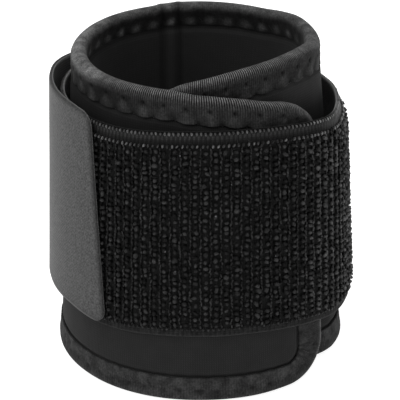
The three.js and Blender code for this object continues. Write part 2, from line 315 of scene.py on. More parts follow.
@dataclass(frozen=True)
class StrapWinding:
    """Winds the flat strap and its tab over the panel."""

    roll: Roll
    width: float = 50.0
    start_angle: float = 140.0
    pile_thickness: float = 1.7
    curl: float = 0.95
    curled: Span = ((312, 356), (400, 440))

    def angle(self, along: Array) -> Array:
        """Angle in degrees at a distance along the flat strap."""
        mean = self.roll.low_radius + self.roll.bound_thickness + self.pile_thickness / 2
        return self.start_angle + np.degrees(along / mean)

    def place(self, along: Array, height: Array, depth: Array) -> Array:
        """Points of the frame for flat strap points.

        Args:
            along: Distances along the strap.
            height: Heights above its low edge.
            depth: Distances outwards from its inner face.

        Returns:
            Points in metres.
        """
        roll = self.roll
        angle = self.angle(along)
        rise = STRAP_ROUTE.read("rise", angle)
        z = roll.panel_height * rise + height * STRAP_ROUTE.read("spread", angle)
        cone = lerp(roll.low_radius, roll.high_radius, z / roll.panel_height) + roll.bound_thickness
        low = STRAP_ROUTE.read("low_step", angle)
        high = STRAP_ROUTE.read("high_step", angle)
        step = lerp(low, high, height / self.width)
        radius = cone + roll.ply_pitch * step + depth - self.inset(angle, height)
        return roll.in_frame(radius, angle, z, 0.0)

    def inset(self, angle: Array, height: Array) -> Array:
        """How far the free top edge curls in where it stands off the panel at the right."""
        free = window(angle, *self.curled)
        return self.curl * free * smooth(height, self.width - 6.5, self.width)


@dataclass
class Cloth:
    """Points, quads, cloth coordinates and shades of one mesh, gathered before it is made."""

    points: list[Array] = field(default_factory=list)
    quads: list[Array] = field(default_factory=list)
    flat: list[Array] = field(default_factory=list)
    tone: list[Array] = field(default_factory=list)
    ribs: list[Array] = field(default_factory=list)
    count: int = 0

    def add(self, points: Array, quads: Array, flat: Array, tone: Array, ribs: Array | None = None) -> None:
        """Add points with the quads between them.

        Args:
            points: Points in metres, any shape with a last axis of 3.
            quads: Quads that number these points from 0.
            flat: Flat cloth coordinates in millimetres, with a last axis of 2.
            tone: Tone of each point, where 1 is the finish's own colour; on most pieces it also holds
                painted light and shade.
            ribs: How plainly the weave shows at each point, 1 everywhere if not given.
        """
        self.points.append(points.reshape(-1, 3))
        self.flat.append(flat.reshape(-1, 2) * MM)
        self.tone.append(tone.reshape(-1))
        self.ribs.append(np.ones(tone.size) if ribs is None else ribs.reshape(-1))
        self.quads.append(quads + self.count)
        self.count += points.size // 3

    def make(self, name: str) -> bpy.types.Object:
        """Make the mesh object, with its cloth UV map and its tone and ribs attributes.

        Args:
            name: The object's name.

        Returns:
            The object, in the scene.
        """
        mesh = bpy.data.meshes.new(name)
        points = np.concatenate(self.points)
        quads = np.concatenate(self.quads).astype(np.int32)
        mesh.vertices.add(len(points))
        mesh.vertices.foreach_set("co", points.astype(np.float32).ravel())
        mesh.loops.add(quads.size)
        mesh.loops.foreach_set("vertex_index", quads.ravel())
        mesh.polygons.add(len(quads))
        mesh.polygons.foreach_set("loop_start", np.arange(0, quads.size, 4, dtype=np.int32))
        mesh.update(calc_edges=True)
        mesh.shade_smooth()
        layer = mesh.uv_layers.new(name="cloth")
        layer.data.foreach_set("uv", np.concatenate(self.flat)[quads.ravel()].astype(np.float32).ravel())
        for label, values in (("tone", self.tone), ("ribs", self.ribs)):
            shade = mesh.attributes.new(label, "FLOAT", "POINT")
            shade.data.foreach_set("value", np.concatenate(values).astype(np.float32))
        mesh.validate()
        piece = bpy.data.objects.new(name, mesh)
        bpy.context.scene.collection.objects.link(piece)
        LOG.info("%s: %d faces", name, len(mesh.polygons))
        return piece


def strip_quads(rows: int, columns: int, ring: bool = False) -> Array:
    """Quads of a grid of rows by columns of points, facing the side where columns turn left.

    Args:
        rows: Number of rows.
        columns: Points in a row.
        ring: Whether the last row joins the first.

    Returns:
        Quads as an array of 4 columns.
    """
    last = rows if ring else rows - 1
    a = (np.arange(last)[:, None] * columns + np.arange(columns - 1)[None, :]).ravel()
    b = a + 1
    step = columns
    c = (b + step) % (rows * columns)
    d = (a + step) % (rows * columns)
    return np.stack((a, b, c, d), axis=1)


def two_faced(outer: Array, inner: Array, flat: Array, tone: Array, cloth: Cloth,
              ribs: Array | None = None) -> None:
    """Add a closed sheet whose outer and inner faces are grids of rows by columns.

    Args:
        outer: Points of the outer face, columns running along and rows running up.
        inner: Points of the inner face, in the same order.
        flat: Flat coordinates of a face, in millimetres.
        tone: Tone of the two faces, with a first axis of 2.
        cloth: The mesh to add them to.
        ribs: How plainly the weave shows on the two faces, 1 everywhere if not given.
    """
    rows, columns = outer.shape[:2]
    size = rows * columns
    index = np.arange(size).reshape(rows, columns)
    front = strip_quads(rows, columns)
    back = front[:, ::-1] + size
    rim = np.concatenate((index[0, :-1], index[:-1, -1], index[-1, :0:-1], index[:0:-1, 0]))
    after = np.roll(rim, -1)
    edge = np.stack((after, rim, rim + size, after + size), axis=1)
    quads = np.concatenate((front, back, edge))
    cloth.add(np.stack((outer, inner)), quads, np.stack((flat, flat)), tone, ribs)


def tube_quads(stations: int, sides: int) -> Array:
    """Quads of a closed tube with rings of 4 or 6 points, its ends capped.

    Args:
        stations: Number of rings.
        sides: Points in a ring.

    Returns:
        Quads as an array of 4 columns.
    """
    ring = np.arange(stations - 1)[:, None] * sides
    a = ring + np.arange(sides)
    b = ring + (np.arange(sides) + 1) % sides
    wall = np.stack((a, b, b + sides, a + sides), axis=-1).reshape(-1, 4)
    cap = np.array([(0, 3, 2, 1)] if sides == 4 else [(0, 3, 2, 1), (0, 5, 4, 3)])
    far = cap[:, ::-1] + (stations - 1) * sides
    return np.concatenate((wall, cap, far))


def spaced(length: float, near_end: float, fine: float, coarse: float) -> Array:
    """Distances from 0 to the length, fine near both ends and coarse between.

    Args:
        length: The whole length.
        near_end: How far the fine spacing reaches from each end.
        fine: The fine spacing.
        coarse: The coarse spacing.

    Returns:
        The distances, in rising order.
    """
    start = np.linspace(0.0, near_end, max(2, round(near_end / fine) + 1))
    open_length = length - 2 * near_end
    middle = np.linspace(near_end, length - near_end, max(2, round(open_length / coarse) + 1))
    return np.concatenate((start[:-1], middle, length - start[::-1][1:]))


def corner_cut(distance: Array, radius: float) -> Array:
    """How much a rounded corner takes off the height at a distance from the end."""
    inside = np.clip(radius - distance, 0.0, radius)
    return radius - np.sqrt(radius**2 - inside**2)


class Weave(Enum):
    """How a finish's yarns run over its cloth coordinates."""

    JERSEY = "jersey"
    RIBBED = "ribbed"
    TWILL = "twill"
    PLAIN = "plain"


@dataclass(frozen=True)
class Finish:
    """A cloth finish: its colours, its yarns and how it takes the light."""

    name: str
    slot: str
    dark: float
    light: float
    weave: Weave
    pitch: float
    relief: float
    roughness: float = 0.9
    specular: float = 0.25
    sheen: float = 0.2
    mottle: float = 0.2
    mottle_size: float = 3.0
    grain: float = 0.15
    grain_size: float = 0.4
    lint: float = 0.0
    sheen_roughness: float = 0.45


class Bench:
    """A node tree with short calls to add and join its nodes."""

    def __init__(self, tree: bpy.types.NodeTree) -> None:
        self.tree = tree

    def node(self, kind: str, **settings: object) -> bpy.types.Node:
        """Add a node of a kind, with its properties set.

        Args:
            kind: The node's type.
            settings: Its properties by name.

        Returns:
            The node.
        """
        made = self.tree.nodes.new(kind)
        for name, value in settings.items():
            setattr(made, name, value)
        return made

    def join(self, source: bpy.types.NodeSocket, target: bpy.types.NodeSocket) -> None:
        """Link two sockets."""
        self.tree.links.new(source, target)

    def feed(self, socket: bpy.types.NodeSocket, value: object) -> None:
        """Set a socket to a number, or link it to another socket.

        Args:
            socket: The socket to feed.
            value: A number, a colour or an output socket.
        """
        if isinstance(value, bpy.types.NodeSocket):
            self.join(value, socket)
        else:
            socket.default_value = value

    def calc(self, operation: str, *values: object, clamp: bool = False) -> bpy.types.NodeSocket:
        """Add a Math node fed by numbers or sockets.

        Args:
            operation: The Math node's operation.
            values: Its inputs, in order.
            clamp: Whether its result is held between 0 and 1.

        Returns:
            Its output socket.
        """
        made = self.node("ShaderNodeMath", operation=operation, use_clamp=clamp)
        for socket, value in zip(made.inputs, values):
            self.feed(socket, value)
        return made.outputs[0]

    def mix(self, share: object, start: object, end: object) -> bpy.types.NodeSocket:
        """Add a colour Mix node and return its result.

        Args:
            share: How much of the end there is.
            start: The colour at share 0.
            end: The colour at share 1.

        Returns:
            Its colour's socket.
        """
        made = self.node("ShaderNodeMix", data_type="RGBA")
        self.feed(made.inputs[0], share)
        self.feed(made.inputs[6], start)
        self.feed(made.inputs[7], end)
        return made.outputs[2]

    def noise(self, vector: object, scale: object, detail: float, roughness: float) -> bpy.types.NodeSocket:
        """Add a noise texture.

        Args:
            vector: Socket of the place that it is read at.
            scale: Its scale, a number or a socket.
            detail: How many finer layers it has.
            roughness: How strong the finer layers are.

        Returns:
            Its value's socket.
        """
        made = self.node("ShaderNodeTexNoise")
        values = {"Vector": vector, "Scale": scale, "Detail": detail, "Roughness": roughness}
        for name, value in values.items():
            self.feed(made.inputs[name], value)
        return made.outputs[0]

    def group(self, name: str, **values: object) -> bpy.types.Node:
        """Place a node group and feed its inputs.

        Args:
            name: The group's name.
            values: Its inputs by name.

        Returns:
            The group's node.
        """
        made = self.node("ShaderNodeGroup", node_tree=bpy.data.node_groups[name])
        for key, value in values.items():
            self.feed(made.inputs[key], value)
        return made


def new_group(name: str, inputs: tuple[tuple[str, str], ...], outputs: tuple[str, ...]) -> tuple:
    """Start a shader node group.

    Args:
        name: The group's name.
        inputs: Name and socket type of each input.
        outputs: Names of its float outputs.

    Returns:
        The group's bench, its input node and its output node.
    """
    tree = bpy.data.node_groups.new(name, "ShaderNodeTree")
    for label, kind in inputs:
        tree.interface.new_socket(label, in_out="INPUT", socket_type=kind)
    for label in outputs:
        tree.interface.new_socket(label, in_out="OUTPUT", socket_type="NodeSocketFloat")
    bench = Bench(tree)
    return bench, bench.node("NodeGroupInput"), bench.node("NodeGroupOutput")


def make_yarn_group() -> None:
    """Make the yarns group: ridges across the cloth at a pitch, and how high they stand."""
    bench, given, result = new_group(
        "yarns",
        (("Cloth", "NodeSocketVector"), ("Along", "NodeSocketFloat"), ("Up", "NodeSocketFloat"),
         ("Waver", "NodeSocketFloat"), ("Crisp", "NodeSocketFloat")),
        ("Height",),
    )
    parts = bench.node("ShaderNodeSeparateXYZ")
    bench.join(given.outputs["Cloth"], parts.inputs[0])
    waver = bench.calc("SUBTRACT", bench.noise(given.outputs["Cloth"], WAVER_SCALE, 2.0, 0.5), 0.5)
    waver = bench.calc("MULTIPLY", waver, given.outputs["Waver"])
    along = bench.calc("MULTIPLY", parts.outputs[0], given.outputs["Along"])
    up = bench.calc("MULTIPLY", parts.outputs[1], given.outputs["Up"])
    phase = bench.calc("ADD", bench.calc("ADD", along, up), waver)
    wave = bench.calc("SINE", bench.calc("MULTIPLY", phase, 2 * math.pi))
    ridge = bench.calc("MULTIPLY", wave, given.outputs["Crisp"])
    bench.join(bench.calc("MULTIPLY_ADD", ridge, 0.5, 0.5, clamp=True), result.inputs["Height"])


def make_mottle_group() -> None:
    """Make the mottle group: soft patches of lighter and darker cloth."""
    bench, given, result = new_group(
        "mottle",
        (("Place", "NodeSocketVector"), ("Scale", "NodeSocketFloat"), ("Amount", "NodeSocketFloat")),
        ("Tone",),
    )
    patches = bench.noise(given.outputs["Place"], given.outputs["Scale"], 4.0, 0.6)
    swing = bench.calc("MULTIPLY", bench.calc("SUBTRACT", patches, 0.5), given.outputs["Amount"])
    bench.join(bench.calc("MULTIPLY_ADD", swing, 2.0, 1.0), result.inputs["Tone"])


def make_lint_group() -> None:
    """Make the lint group: a mask of small stray fibres caught in the cloth."""
    bench, given, result = new_group(
        "lint",
        (("Place", "NodeSocketVector"), ("Amount", "NodeSocketFloat")),
        ("Mask",),
    )
    cells = bench.node("ShaderNodeTexVoronoi", feature="F1")
    bench.join(given.outputs["Place"], cells.inputs["Vector"])
    cells.inputs["Scale"].default_value = LINT_CELLS
    near = bench.calc("LESS_THAN", cells.outputs["Distance"], LINT_REACH)
    colour = bench.node("ShaderNodeSeparateColor")
    bench.join(cells.outputs["Color"], colour.inputs[0])
    chosen = bench.calc("LESS_THAN", colour.outputs[0], given.outputs["Amount"])
    bench.join(bench.calc("MULTIPLY", near, chosen), result.inputs["Mask"])


class Wardrobe:
    """Makes each finish's material once and puts it on pieces."""

    def __init__(self) -> None:
        make_yarn_group()
        make_mottle_group()
        make_lint_group()
        self.made: dict[str, bpy.types.Material] = {}

    def yarn_height(self, bench: Bench, cloth: object, finish: Finish) -> bpy.types.NodeSocket:
        """Height of the finish's yarns, from 0 in their valleys to 1 on their crests.

        Args:
            bench: The material's bench.
            cloth: Socket of the cloth coordinates.
            finish: The finish.

        Returns:
            The height's socket.
        """
        rate = 1 / (finish.pitch * MM)
        ridges = {"Cloth": cloth, "Along": rate, "Up": 0.0, "Waver": 0.4, "Crisp": 1.0}
        if finish.weave is Weave.RIBBED:
            return bench.group("yarns", **{**ridges, "Waver": 0.5, "Crisp": 1.9}).outputs[0]
        if finish.weave is Weave.TWILL:
            return bench.group("yarns", **{**ridges, "Up": -rate, "Waver": 0.8}).outputs[0]
        first = bench.group("yarns", **ridges).outputs[0]
        if finish.weave is Weave.JERSEY:
            second = bench.group("yarns", **{**ridges, "Up": rate * 0.8})
        else:
            second = bench.group("yarns", **{**ridges, "Along": 0.0, "Up": rate})
        return bench.calc("MULTIPLY", first, second.outputs[0])

    def material(self, finish: Finish) -> bpy.types.Material:
        """The finish's material, made the first time that it is asked for.

        Args:
            finish: The finish.

        Returns:
            The material.
        """
        if finish.name in self.made:
            return self.made[finish.name]
        material = bpy.data.materials.new(finish.name)
        material.use_nodes = True
        bench = Bench(material.node_tree)
        shader = material.node_tree.nodes["Principled BSDF"]
        shader.inputs["Roughness"].default_value = finish.roughness
        shader.inputs["Specular IOR Level"].default_value = finish.specular
        shader.inputs["Sheen Weight"].default_value = finish.sheen
        shader.inputs["Sheen Roughness"].default_value = finish.sheen_roughness
        cloth = bench.node("ShaderNodeUVMap", uv_map="cloth").outputs[0]
        place = bench.node("ShaderNodeTexCoord").outputs["Object"]
        # The tone attribute holds random tone and painted light and shade.
        tone = bench.node("ShaderNodeAttribute", attribute_name="tone").outputs["Fac"]
        ribs = bench.node("ShaderNodeAttribute", attribute_name="ribs").outputs["Fac"]
        yarn = bench.calc("SUBTRACT", self.yarn_height(bench, cloth, finish), 0.5)
        yarn = bench.calc("MULTIPLY_ADD", yarn, ribs, 0.5)
        strength = tone
        for size, amount in ((finish.mottle_size, finish.mottle), (finish.grain_size, finish.grain)):
            patches = bench.group("mottle", Place=place, Scale=1 / (size * MM), Amount=amount)
            strength = bench.calc("MULTIPLY", strength, patches.outputs[0])
        # Yarn crests take the light colour and valleys the dark one; on the ribbed tape this contrast is
        # painted highlight and shade.
        colour = bench.mix(yarn, grey(finish.dark), grey(finish.light))
        scaled = bench.node("ShaderNodeVectorMath", operation="SCALE")
        bench.join(colour, scaled.inputs[0])
        bench.join(strength, scaled.inputs["Scale"])
        final = scaled.outputs[0]
        if finish.lint:
            lint = bench.group("lint", Place=place, Amount=finish.lint).outputs[0]
            final = bench.mix(lint, final, LINT_COLOUR)
        bench.join(final, shader.inputs["Base Color"])
        bump = bench.node("ShaderNodeBump")
        bump.inputs["Strength"].default_value = 1.0
        bump.inputs["Distance"].default_value = finish.relief * MM
        bench.join(yarn, bump.inputs["Height"])
        bench.join(bump.outputs[0], shader.inputs["Normal"])
        self.made[finish.name] = material
        return material

    def dress(self, piece: bpy.types.Object, finish: Finish) -> None:
        """Put the finish on the piece."""
        piece.data.materials.append(self.material(finish))


JERSEY_OUTSIDE = Finish(
    "jersey_outside", "neoprene", 0.011, 0.021, Weave.JERSEY,
    pitch=0.45, relief=0.03, specular=0.12, sheen=0.02, mottle=0.25, mottle_size=4.0, grain=0.2,
)
# Paler than the outer jersey: painted light inside the wrap.
JERSEY_INSIDE = Finish(
    "jersey_inside", "neoprene", 0.014, 0.025, Weave.JERSEY,
    pitch=0.45, relief=0.03, specular=0.12, sheen=0.04, mottle=0.2, mottle_size=4.0,
)
# Near-black valleys and light crests: painted shade and highlight on the ribs.
RIBBED_TAPE = Finish(
    "ribbed_tape", "binding_tape", 0.003, 0.062, Weave.RIBBED,
    pitch=0.53, relief=0.10, specular=0.08, sheen=0.03, mottle=0.8, mottle_size=1.8,
    grain=1.0, grain_size=0.45,
)
BLACK_THREAD = Finish(
    "black_thread", "binding_tape", 0.009, 0.020, Weave.RIBBED,
    pitch=0.3, relief=0.03, sheen=0.1, mottle=0.3, mottle_size=1.0,
)
STRAP_GROUND = Finish(
    "strap_ground", "pile_elastic", 0.004, 0.026, Weave.PLAIN,
    pitch=0.52, relief=0.08, specular=0.08, sheen=0.05, mottle=0.4, mottle_size=1.2,
    grain=0.8, grain_size=0.3,
)
PILE_YARN = Finish(
    "pile_yarn", "pile_elastic", 0.011, 0.037, Weave.TWILL,
    pitch=0.22, relief=0.04, specular=0.04, sheen=0.0, mottle=0.5, mottle_size=1.0,
    grain=0.9, grain_size=0.3, lint=0.02,
)
EDGE_YARN = Finish(
    "edge_yarn", "pile_elastic", 0.030, 0.10, Weave.TWILL,
    pitch=0.22, relief=0.04, specular=0.05, sheen=0.1, mottle=0.5, mottle_size=0.8, grain=0.5,
)
TAB_BACK = Finish(
    "tab_back", "hook_tape", 0.047, 0.0515, Weave.TWILL,
    pitch=0.75, relief=0.02, roughness=0.8, specular=0.2, sheen=0.12, mottle=0.25, mottle_size=1.4,
    grain=1.5, grain_size=0.45,
)
# Paler than the black hook cloth: painted light.
TAB_HOOKS = Finish(
    "tab_hooks", "hook_tape", 0.070, 0.16, Weave.PLAIN,
    pitch=0.6, relief=0.1, roughness=0.6, sheen=0.05, mottle=0.2, mottle_size=1.0,
)


@dataclass
class Template:
    """A small shape modelled once: its points in millimetres and its quads."""

    points: Array
    quads: Array

    @classmethod
    def take(cls, piece: bpy.types.Object) -> Template:
        """Take the shape from an object, and remove the object.

        Args:
            piece: An object whose faces all have four corners.

        Returns:
            The shape.
        """
        mesh = piece.data
        points = np.array([v.co for v in mesh.vertices], float)
        quads = np.array([list(p.vertices) for p in mesh.polygons])
        bpy.data.objects.remove(piece)
        bpy.data.meshes.remove(mesh)
        return cls(points, quads)


def rounded_bead() -> Template:
    """A bead of radius 1: a cube cut once and pushed out to a ball.

    Returns:
        The bead's shape.
    """
    bpy.ops.object.select_all(action="DESELECT")
    bpy.ops.mesh.primitive_cube_add(size=1.0)
    bpy.ops.object.mode_set(mode="EDIT")
    bpy.ops.mesh.select_all(action="SELECT")
    bpy.ops.mesh.subdivide(number_cuts=1)
    bpy.ops.transform.tosphere(value=1.0)
    bpy.ops.object.mode_set(mode="OBJECT")
    bead = Template.take(bpy.context.object)
    bead.points /= np.linalg.norm(bead.points, axis=1).mean()
    return bead


@dataclass
class FoamPanel:
    """Laminated foam between two jerseys, pinched under the binding."""

    winding: PanelWinding
    corner_radius: float = 10.0
    thickness: float = 3.2
    pinched: float = 2.1
    fold_inset: float = 0.9
    groove: float = 0.2
    slope: float = 0.8
    low_lap: float = 5.9
    high_lap: float = 6.2
    end_lap: float = 7.4
    # Painted light on the top band, painted shade in the right pocket behind the strap, painted light on
    # the left foot.
    rim_painted_light: float = 1.45
    pocket_shade: float = 0.5
    foot_painted_light: float = 0.22
    fine: float = 0.36
    coarse: float = 1.05

    def lap(self, height: Array, endwise: Array) -> Array:
        """How far the binding reaches in, by height on the long sides and wider at the ends."""
        side = lerp(self.low_lap, self.high_lap, height / self.winding.roll.panel_height)
        return lerp(side, self.end_lap, endwise)

    def inward(self, x: Array, y: Array) -> tuple[Array, Array]:
        """How deep points lie inside the rounded outline.

        Args:
            x: Distances along the panel.
            y: Heights above its low edge.

        Returns:
            Distance in from the outline, and how far the nearest outline belongs to an end.
        """
        radius = self.corner_radius
        from_end = np.minimum(x, self.winding.length - x)
        from_side = np.minimum(y, self.winding.roll.panel_height - y)
        corner = (from_end < radius) & (from_side < radius)
        reach = np.hypot(radius - from_end, radius - from_side)
        distance = np.where(corner, radius - reach, np.minimum(from_end, from_side))
        straight = np.where(from_end < from_side, 1.0, 0.0)
        slanted = (radius - from_end) / np.maximum(reach, 1e-6)
        return distance, np.where(corner, slanted, straight)

    def half_thickness(self, x: Array, y: Array) -> Array:
        """Half the foam's thickness: thin under the tape, full past the seam's groove.

        Args:
            x: Distances along the panel.
            y: Heights above its low edge.

        Returns:
            Half thicknesses in millimetres.
        """
        distance, endwise = self.inward(x, y)
        past_seam = distance - self.lap(y, endwise) - self.groove
        full = smooth(past_seam, 0.0, self.slope)
        edge = smooth(distance - self.fold_inset, -0.2, 0.8)
        return lerp(self.pinched, self.thickness, full) / 2 * lerp(0.6, 1.0, edge)

    def build(self) -> bpy.types.Object:
        """Build the panel as one closed sheet.

        Returns:
            The panel's object.
        """
        height = self.winding.roll.panel_height
        inset = self.fold_inset
        radius = self.corner_radius - inset
        x = spaced(self.winding.length - 2 * inset, 13.0, self.fine, self.coarse)
        y = spaced(height - 2 * inset, 10.0, self.fine, self.coarse * 1.2)
        columns, rows = np.meshgrid(x, y)
        cut = corner_cut(np.minimum(columns, x[-1] - columns), radius)
        along = columns + inset
        up = cut + rows / y[-1] * (y[-1] - 2 * cut) + inset
        half = self.half_thickness(along, up)
        middle = self.winding.roll.middle
        sway = 0.10 * np.sin(along / 9.0) * np.sin(up / 13.0 + 1.0)
        outer = self.winding.place(along, up, middle + half + sway)
        inner = self.winding.place(along, up, middle - half)
        flat = np.stack((along, up), axis=-1)
        cloth = Cloth()
        tones = np.stack((self.outer_painted_shading(along, up), self.winding.crease_painted_shade(along)))
        two_faced(outer, inner, flat, tones, cloth)
        return cloth.make("foam_panel")

    def outer_painted_shading(self, along: Array, up: Array) -> Array:
        """Tone of the outer jersey: painted light at the rim and the left foot, painted shade in the right
        pocket.

        Args:
            along: Distances along the panel.
            up: Heights above its low edge.

        Returns:
            The tone at each point.
        """
        angle = self.winding.angle(along)
        share = up / self.winding.roll.panel_height
        # Painted light near the top, painted shade in the right pocket, painted light at the left foot.
        rim = lerp(1.0, self.rim_painted_light, smooth(share, 0.80, 0.88))
        pocket = smooth(angle, 326, 362) * smooth(share, 0.4, 0.6)
        left_foot = bell(angle, 566.0, 16.0) * (1.0 - smooth(share, 0.3, 0.5))
        return rim * (1.0 - self.pocket_shade * pocket) * (1.0 + self.foot_painted_light * left_foot)

    def dress(self, piece: bpy.types.Object, wardrobe: Wardrobe) -> None:
        """Put the outer jersey outside and the inner one inside, paler than the outer by painted light.

        Args:
            piece: The panel.
            wardrobe: Where the finishes come from.
        """
        wardrobe.dress(piece, JERSEY_OUTSIDE)
        piece.data.materials.append(wardrobe.material(JERSEY_INSIDE))
        mesh = piece.data
        half = len(mesh.vertices) // 2
        inside = [1 if all(v >= half for v in p.vertices) else 0 for p in mesh.polygons]
        mesh.polygons.foreach_set("material_index", inside)
        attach(piece, "root")
        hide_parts("neoprene_panel")


@dataclass
class TapeFace:
    """One face of the folded tape: distances from the fold, half thickness, and tones that hold painted
    light and shade.
    """

    reach: Array
    half: Array
    tone: Array
    ribs: Array


@dataclass
class Outline:
    """Stations round a flat panel's outline, or along a thread sewn beside it.

    s is the distance round, x and y the flat place, in_x and in_y the way into the panel,
    repeat the length of the stitch's repeat and phase how many repeats lie before.
    """

    s: Array
    x: Array
    y: Array
    in_x: Array
    in_y: Array
    repeat: Array
    phase: Array

    @property
    def upper(self) -> Array:
        """How far each station belongs to the top edge."""
        return np.where(self.in_y < 0, self.in_y**2, 0.0)

    @property
    def lower(self) -> Array:
        """How far each station belongs to the bottom edge."""
        return np.where(self.in_y > 0, self.in_y**2, 0.0)

    @property
    def end(self) -> Array:
        """How far each station belongs to an end."""
        return self.in_x**2


@dataclass
class EdgeBinding:
    """Folded ribbed tape sewn round the panel with a zigzag stitch.

    The rim tables give an angle and how plainly the ribs' painted highlight and shade show, or how deeply
    the stitch pulls, along the top rim.
    """

    panel: FoamPanel
    tape: float = 0.6
    high_crest: float = 2.3
    low_crest: float = 1.5
    high_repeat: float = 5.2
    low_repeat: float = 3.5
    end_repeat: float = 3.8
    outer_row: float = 0.46
    inner_share: float = 0.86
    stations: int = 1700
    sink: float = 0.50
    puff: float = 0.32
    scallop: float = 0.50
    pit: float = 0.45
    pit_width: float = 0.48
    inner_pit_share: float = 0.3
    inner_phase: float = 0.29
    notch: float = 0.16
    thread_radius: float = 0.11
    thread_pull: float = 0.7
    thread_sink: tuple[float, float] = (-0.30, -0.11)
    # Strength of the ribs' painted highlight and shade by angle round the top rim.
    rim_painted_ribs: tuple[tuple[float, float], ...] = (
        (228, 1.0), (305, 1.0), (330, 0.5), (352, 0.12), (560, 0.1), (582, 0.2), (600, 1.0), (650, 1.0),
        (686, 0.8),
    )
    rim_sewing: tuple[tuple[float, float], ...] = (
        (228, 1.0), (335, 0.9), (352, 0.55), (540, 0.5), (585, 0.5), (605, 1.0), (686, 0.85),
    )
    left_turn: Span = ((495, 520), (558, 588))
    left_side: Span = ((495, 525), (594, 612))
    right_turn: Span = ((335, 352), (400, 425))
    seed: int = 5
    shares: tuple[float, ...] = (
        0.0, 0.03, 0.07, 0.12, 0.18, 0.25, 0.32, 0.39, 0.45, 0.50, 0.55,
        0.61, 0.68, 0.75, 0.82, 0.88, 0.93, 0.97, 1.0,
    )

    def outline(self) -> Outline:
        """Stations round the panel's outline, at an even spacing.

        Returns:
            The stations, with whole repeats of the stitch all the way round.
        """
        length = self.panel.winding.length
        height = self.panel.winding.roll.panel_height
        radius = self.panel.corner_radius
        arc = math.pi / 2 * radius
        wide = length - 2 * radius
        tall = height - 2 * radius
        total = 2 * (wide + tall) + 4 * arc
        s = np.linspace(0.0, total, self.stations, endpoint=False)
        x = np.zeros_like(s)
        y = np.zeros_like(s)
        in_x = np.zeros_like(s)
        in_y = np.zeros_like(s)
        start = 0.0
        corners = ((length - radius, radius, -90), (length - radius, height - radius, 0),
                   (radius, height - radius, 90), (radius, radius, 180))
        runs = (wide, tall, wide, tall)
        begins = ((radius, 0.0, 1, 0), (length, radius, 0, 1), (length - radius, height, -1, 0),
                  (0.0, height - radius, 0, -1))
        for run, (x0, y0, dx, dy), (cx, cy, turn) in zip(runs, begins, corners):
            on = (s >= start) & (s < start + run)
            x[on] = x0 + dx * (s[on] - start)
            y[on] = y0 + dy * (s[on] - start)
            in_x[on] = -dy
            in_y[on] = dx
            start += run
            on = (s >= start) & (s < start + arc)
            angle = np.radians(turn) + (s[on] - start) / radius
            in_x[on] = -np.cos(angle)
            in_y[on] = -np.sin(angle)
            x[on] = cx - radius * in_x[on]
            y[on] = cy - radius * in_y[on]
            start += arc
        side = lerp(1 / self.high_repeat, 1 / self.low_repeat, smooth(in_y, -0.5, 0.5))
        rate = lerp(side, 1 / self.end_repeat, in_x**2)
        turns = np.concatenate(([0.0], np.cumsum(rate))) * total / self.stations
        phase = turns[:-1] * round(turns[-1]) / turns[-1]
        return Outline(s, x, y, in_x, in_y, 1 / rate, phase)

    def laps(self, line: Outline) -> Array:
        """The tape's reach at each station, before it is drawn back at the stitches."""
        return self.panel.lap(line.y, np.abs(line.in_x))

    def zigzag(self, phase: Array, lap: Array) -> Array:
        """How far in the stitch runs: from its outer row at whole phases to the tape's edge."""
        share = 1.0 - np.abs(phase % 1.0 * 2.0 - 1.0)
        return lap * lerp(self.outer_row, 1.0, share)

    def painted_rib_contrast(self, line: Outline, reach: Array) -> Array:
        """How plainly the ribs show, as painted highlight and shade on them: plainest over the front rims'
        crest.

        Args:
            line: The outline's stations.
            reach: Distances in from the fold, by station and point.

        Returns:
            The strength at each point.
        """
        angle = self.panel.winding.angle(line.x)
        top = np.interp(angle, *zip(*self.rim_painted_ribs))
        crest = top * line.upper + 0.2 * line.lower + 0.9 * line.end
        side = 0.32 * top * line.upper + 0.15 * line.lower + 0.2 * line.end
        near = lerp(crest[:, None], side[:, None], smooth(reach, 0.9, 2.0))
        return near * lerp(1.0, 0.4, smooth(reach, 3.2, 4.4))

    def sewing(self, line: Outline, inside: bool) -> Array:
        """How deeply the stitch pulls, uneven from repeat to repeat.

        Args:
            line: The outline's stations.
            inside: Whether this is for the face inside the wrap.

        Returns:
            The pull at each station, where 1 is the full pull.
        """
        angle = self.panel.winding.angle(line.x)
        top = np.interp(angle, *zip(*self.rim_sewing))
        held = 0.6 * line.upper if inside else top * line.upper
        repeats = round(line.phase[-1])
        uneven = np.random.default_rng(self.seed).uniform(0.7, 1.25, repeats)
        pull = held + 0.30 * line.lower + 0.4 * line.end
        return pull * uneven[np.round(line.phase).astype(int) % repeats]

    def face(self, line: Outline, lap: Array, inside: bool) -> TapeFace:
        """Shape one face of the tape and paint its light and shade.

        Args:
            line: The outline's stations.
            lap: The tape's reach at each station.
            inside: Whether this is the face inside the wrap.

        Returns:
            The face, from the fold to the tape's edge.
        """
        sewn = self.sewing(line, inside)
        lobe = np.abs(np.cos(math.pi * line.phase)) ** 0.7
        edge = lap - self.scallop * (0.35 if inside else 1.0) * sewn * (1.0 - lobe)
        reach = edge[:, None] * np.array(self.shares)[None, :]
        half, fan, dark = self.relief(line, reach, lap[:, None], sewn[:, None], inside)
        ribs = self.painted_rib_contrast(line, reach)
        patches = lumps(line.s[:, None], reach * (-1.0 if inside else 1.0), 1.5, self.seed)
        patches = patches * (1.0 - 0.8 * ribs)
        half = half + 0.07 * patches * smooth(reach, 1.0, 2.0)
        tone = self.inner_painted_shading(line, reach, fan) if inside else self.outer_painted_shading(line, reach, fan)
        # Painted light on the left turn of the top rim, slight painted shade on the right turn.
        turns = 0.62 * self.on_rim(line, self.left_turn) - 0.05 * self.on_rim(line, self.right_turn)
        tone = tone * (1.0 + turns) * (1.0 + 0.32 * patches)
        # The stitch's painted shade darkens the tone.
        return TapeFace(reach, half, tone * (1.0 - dark), ribs)

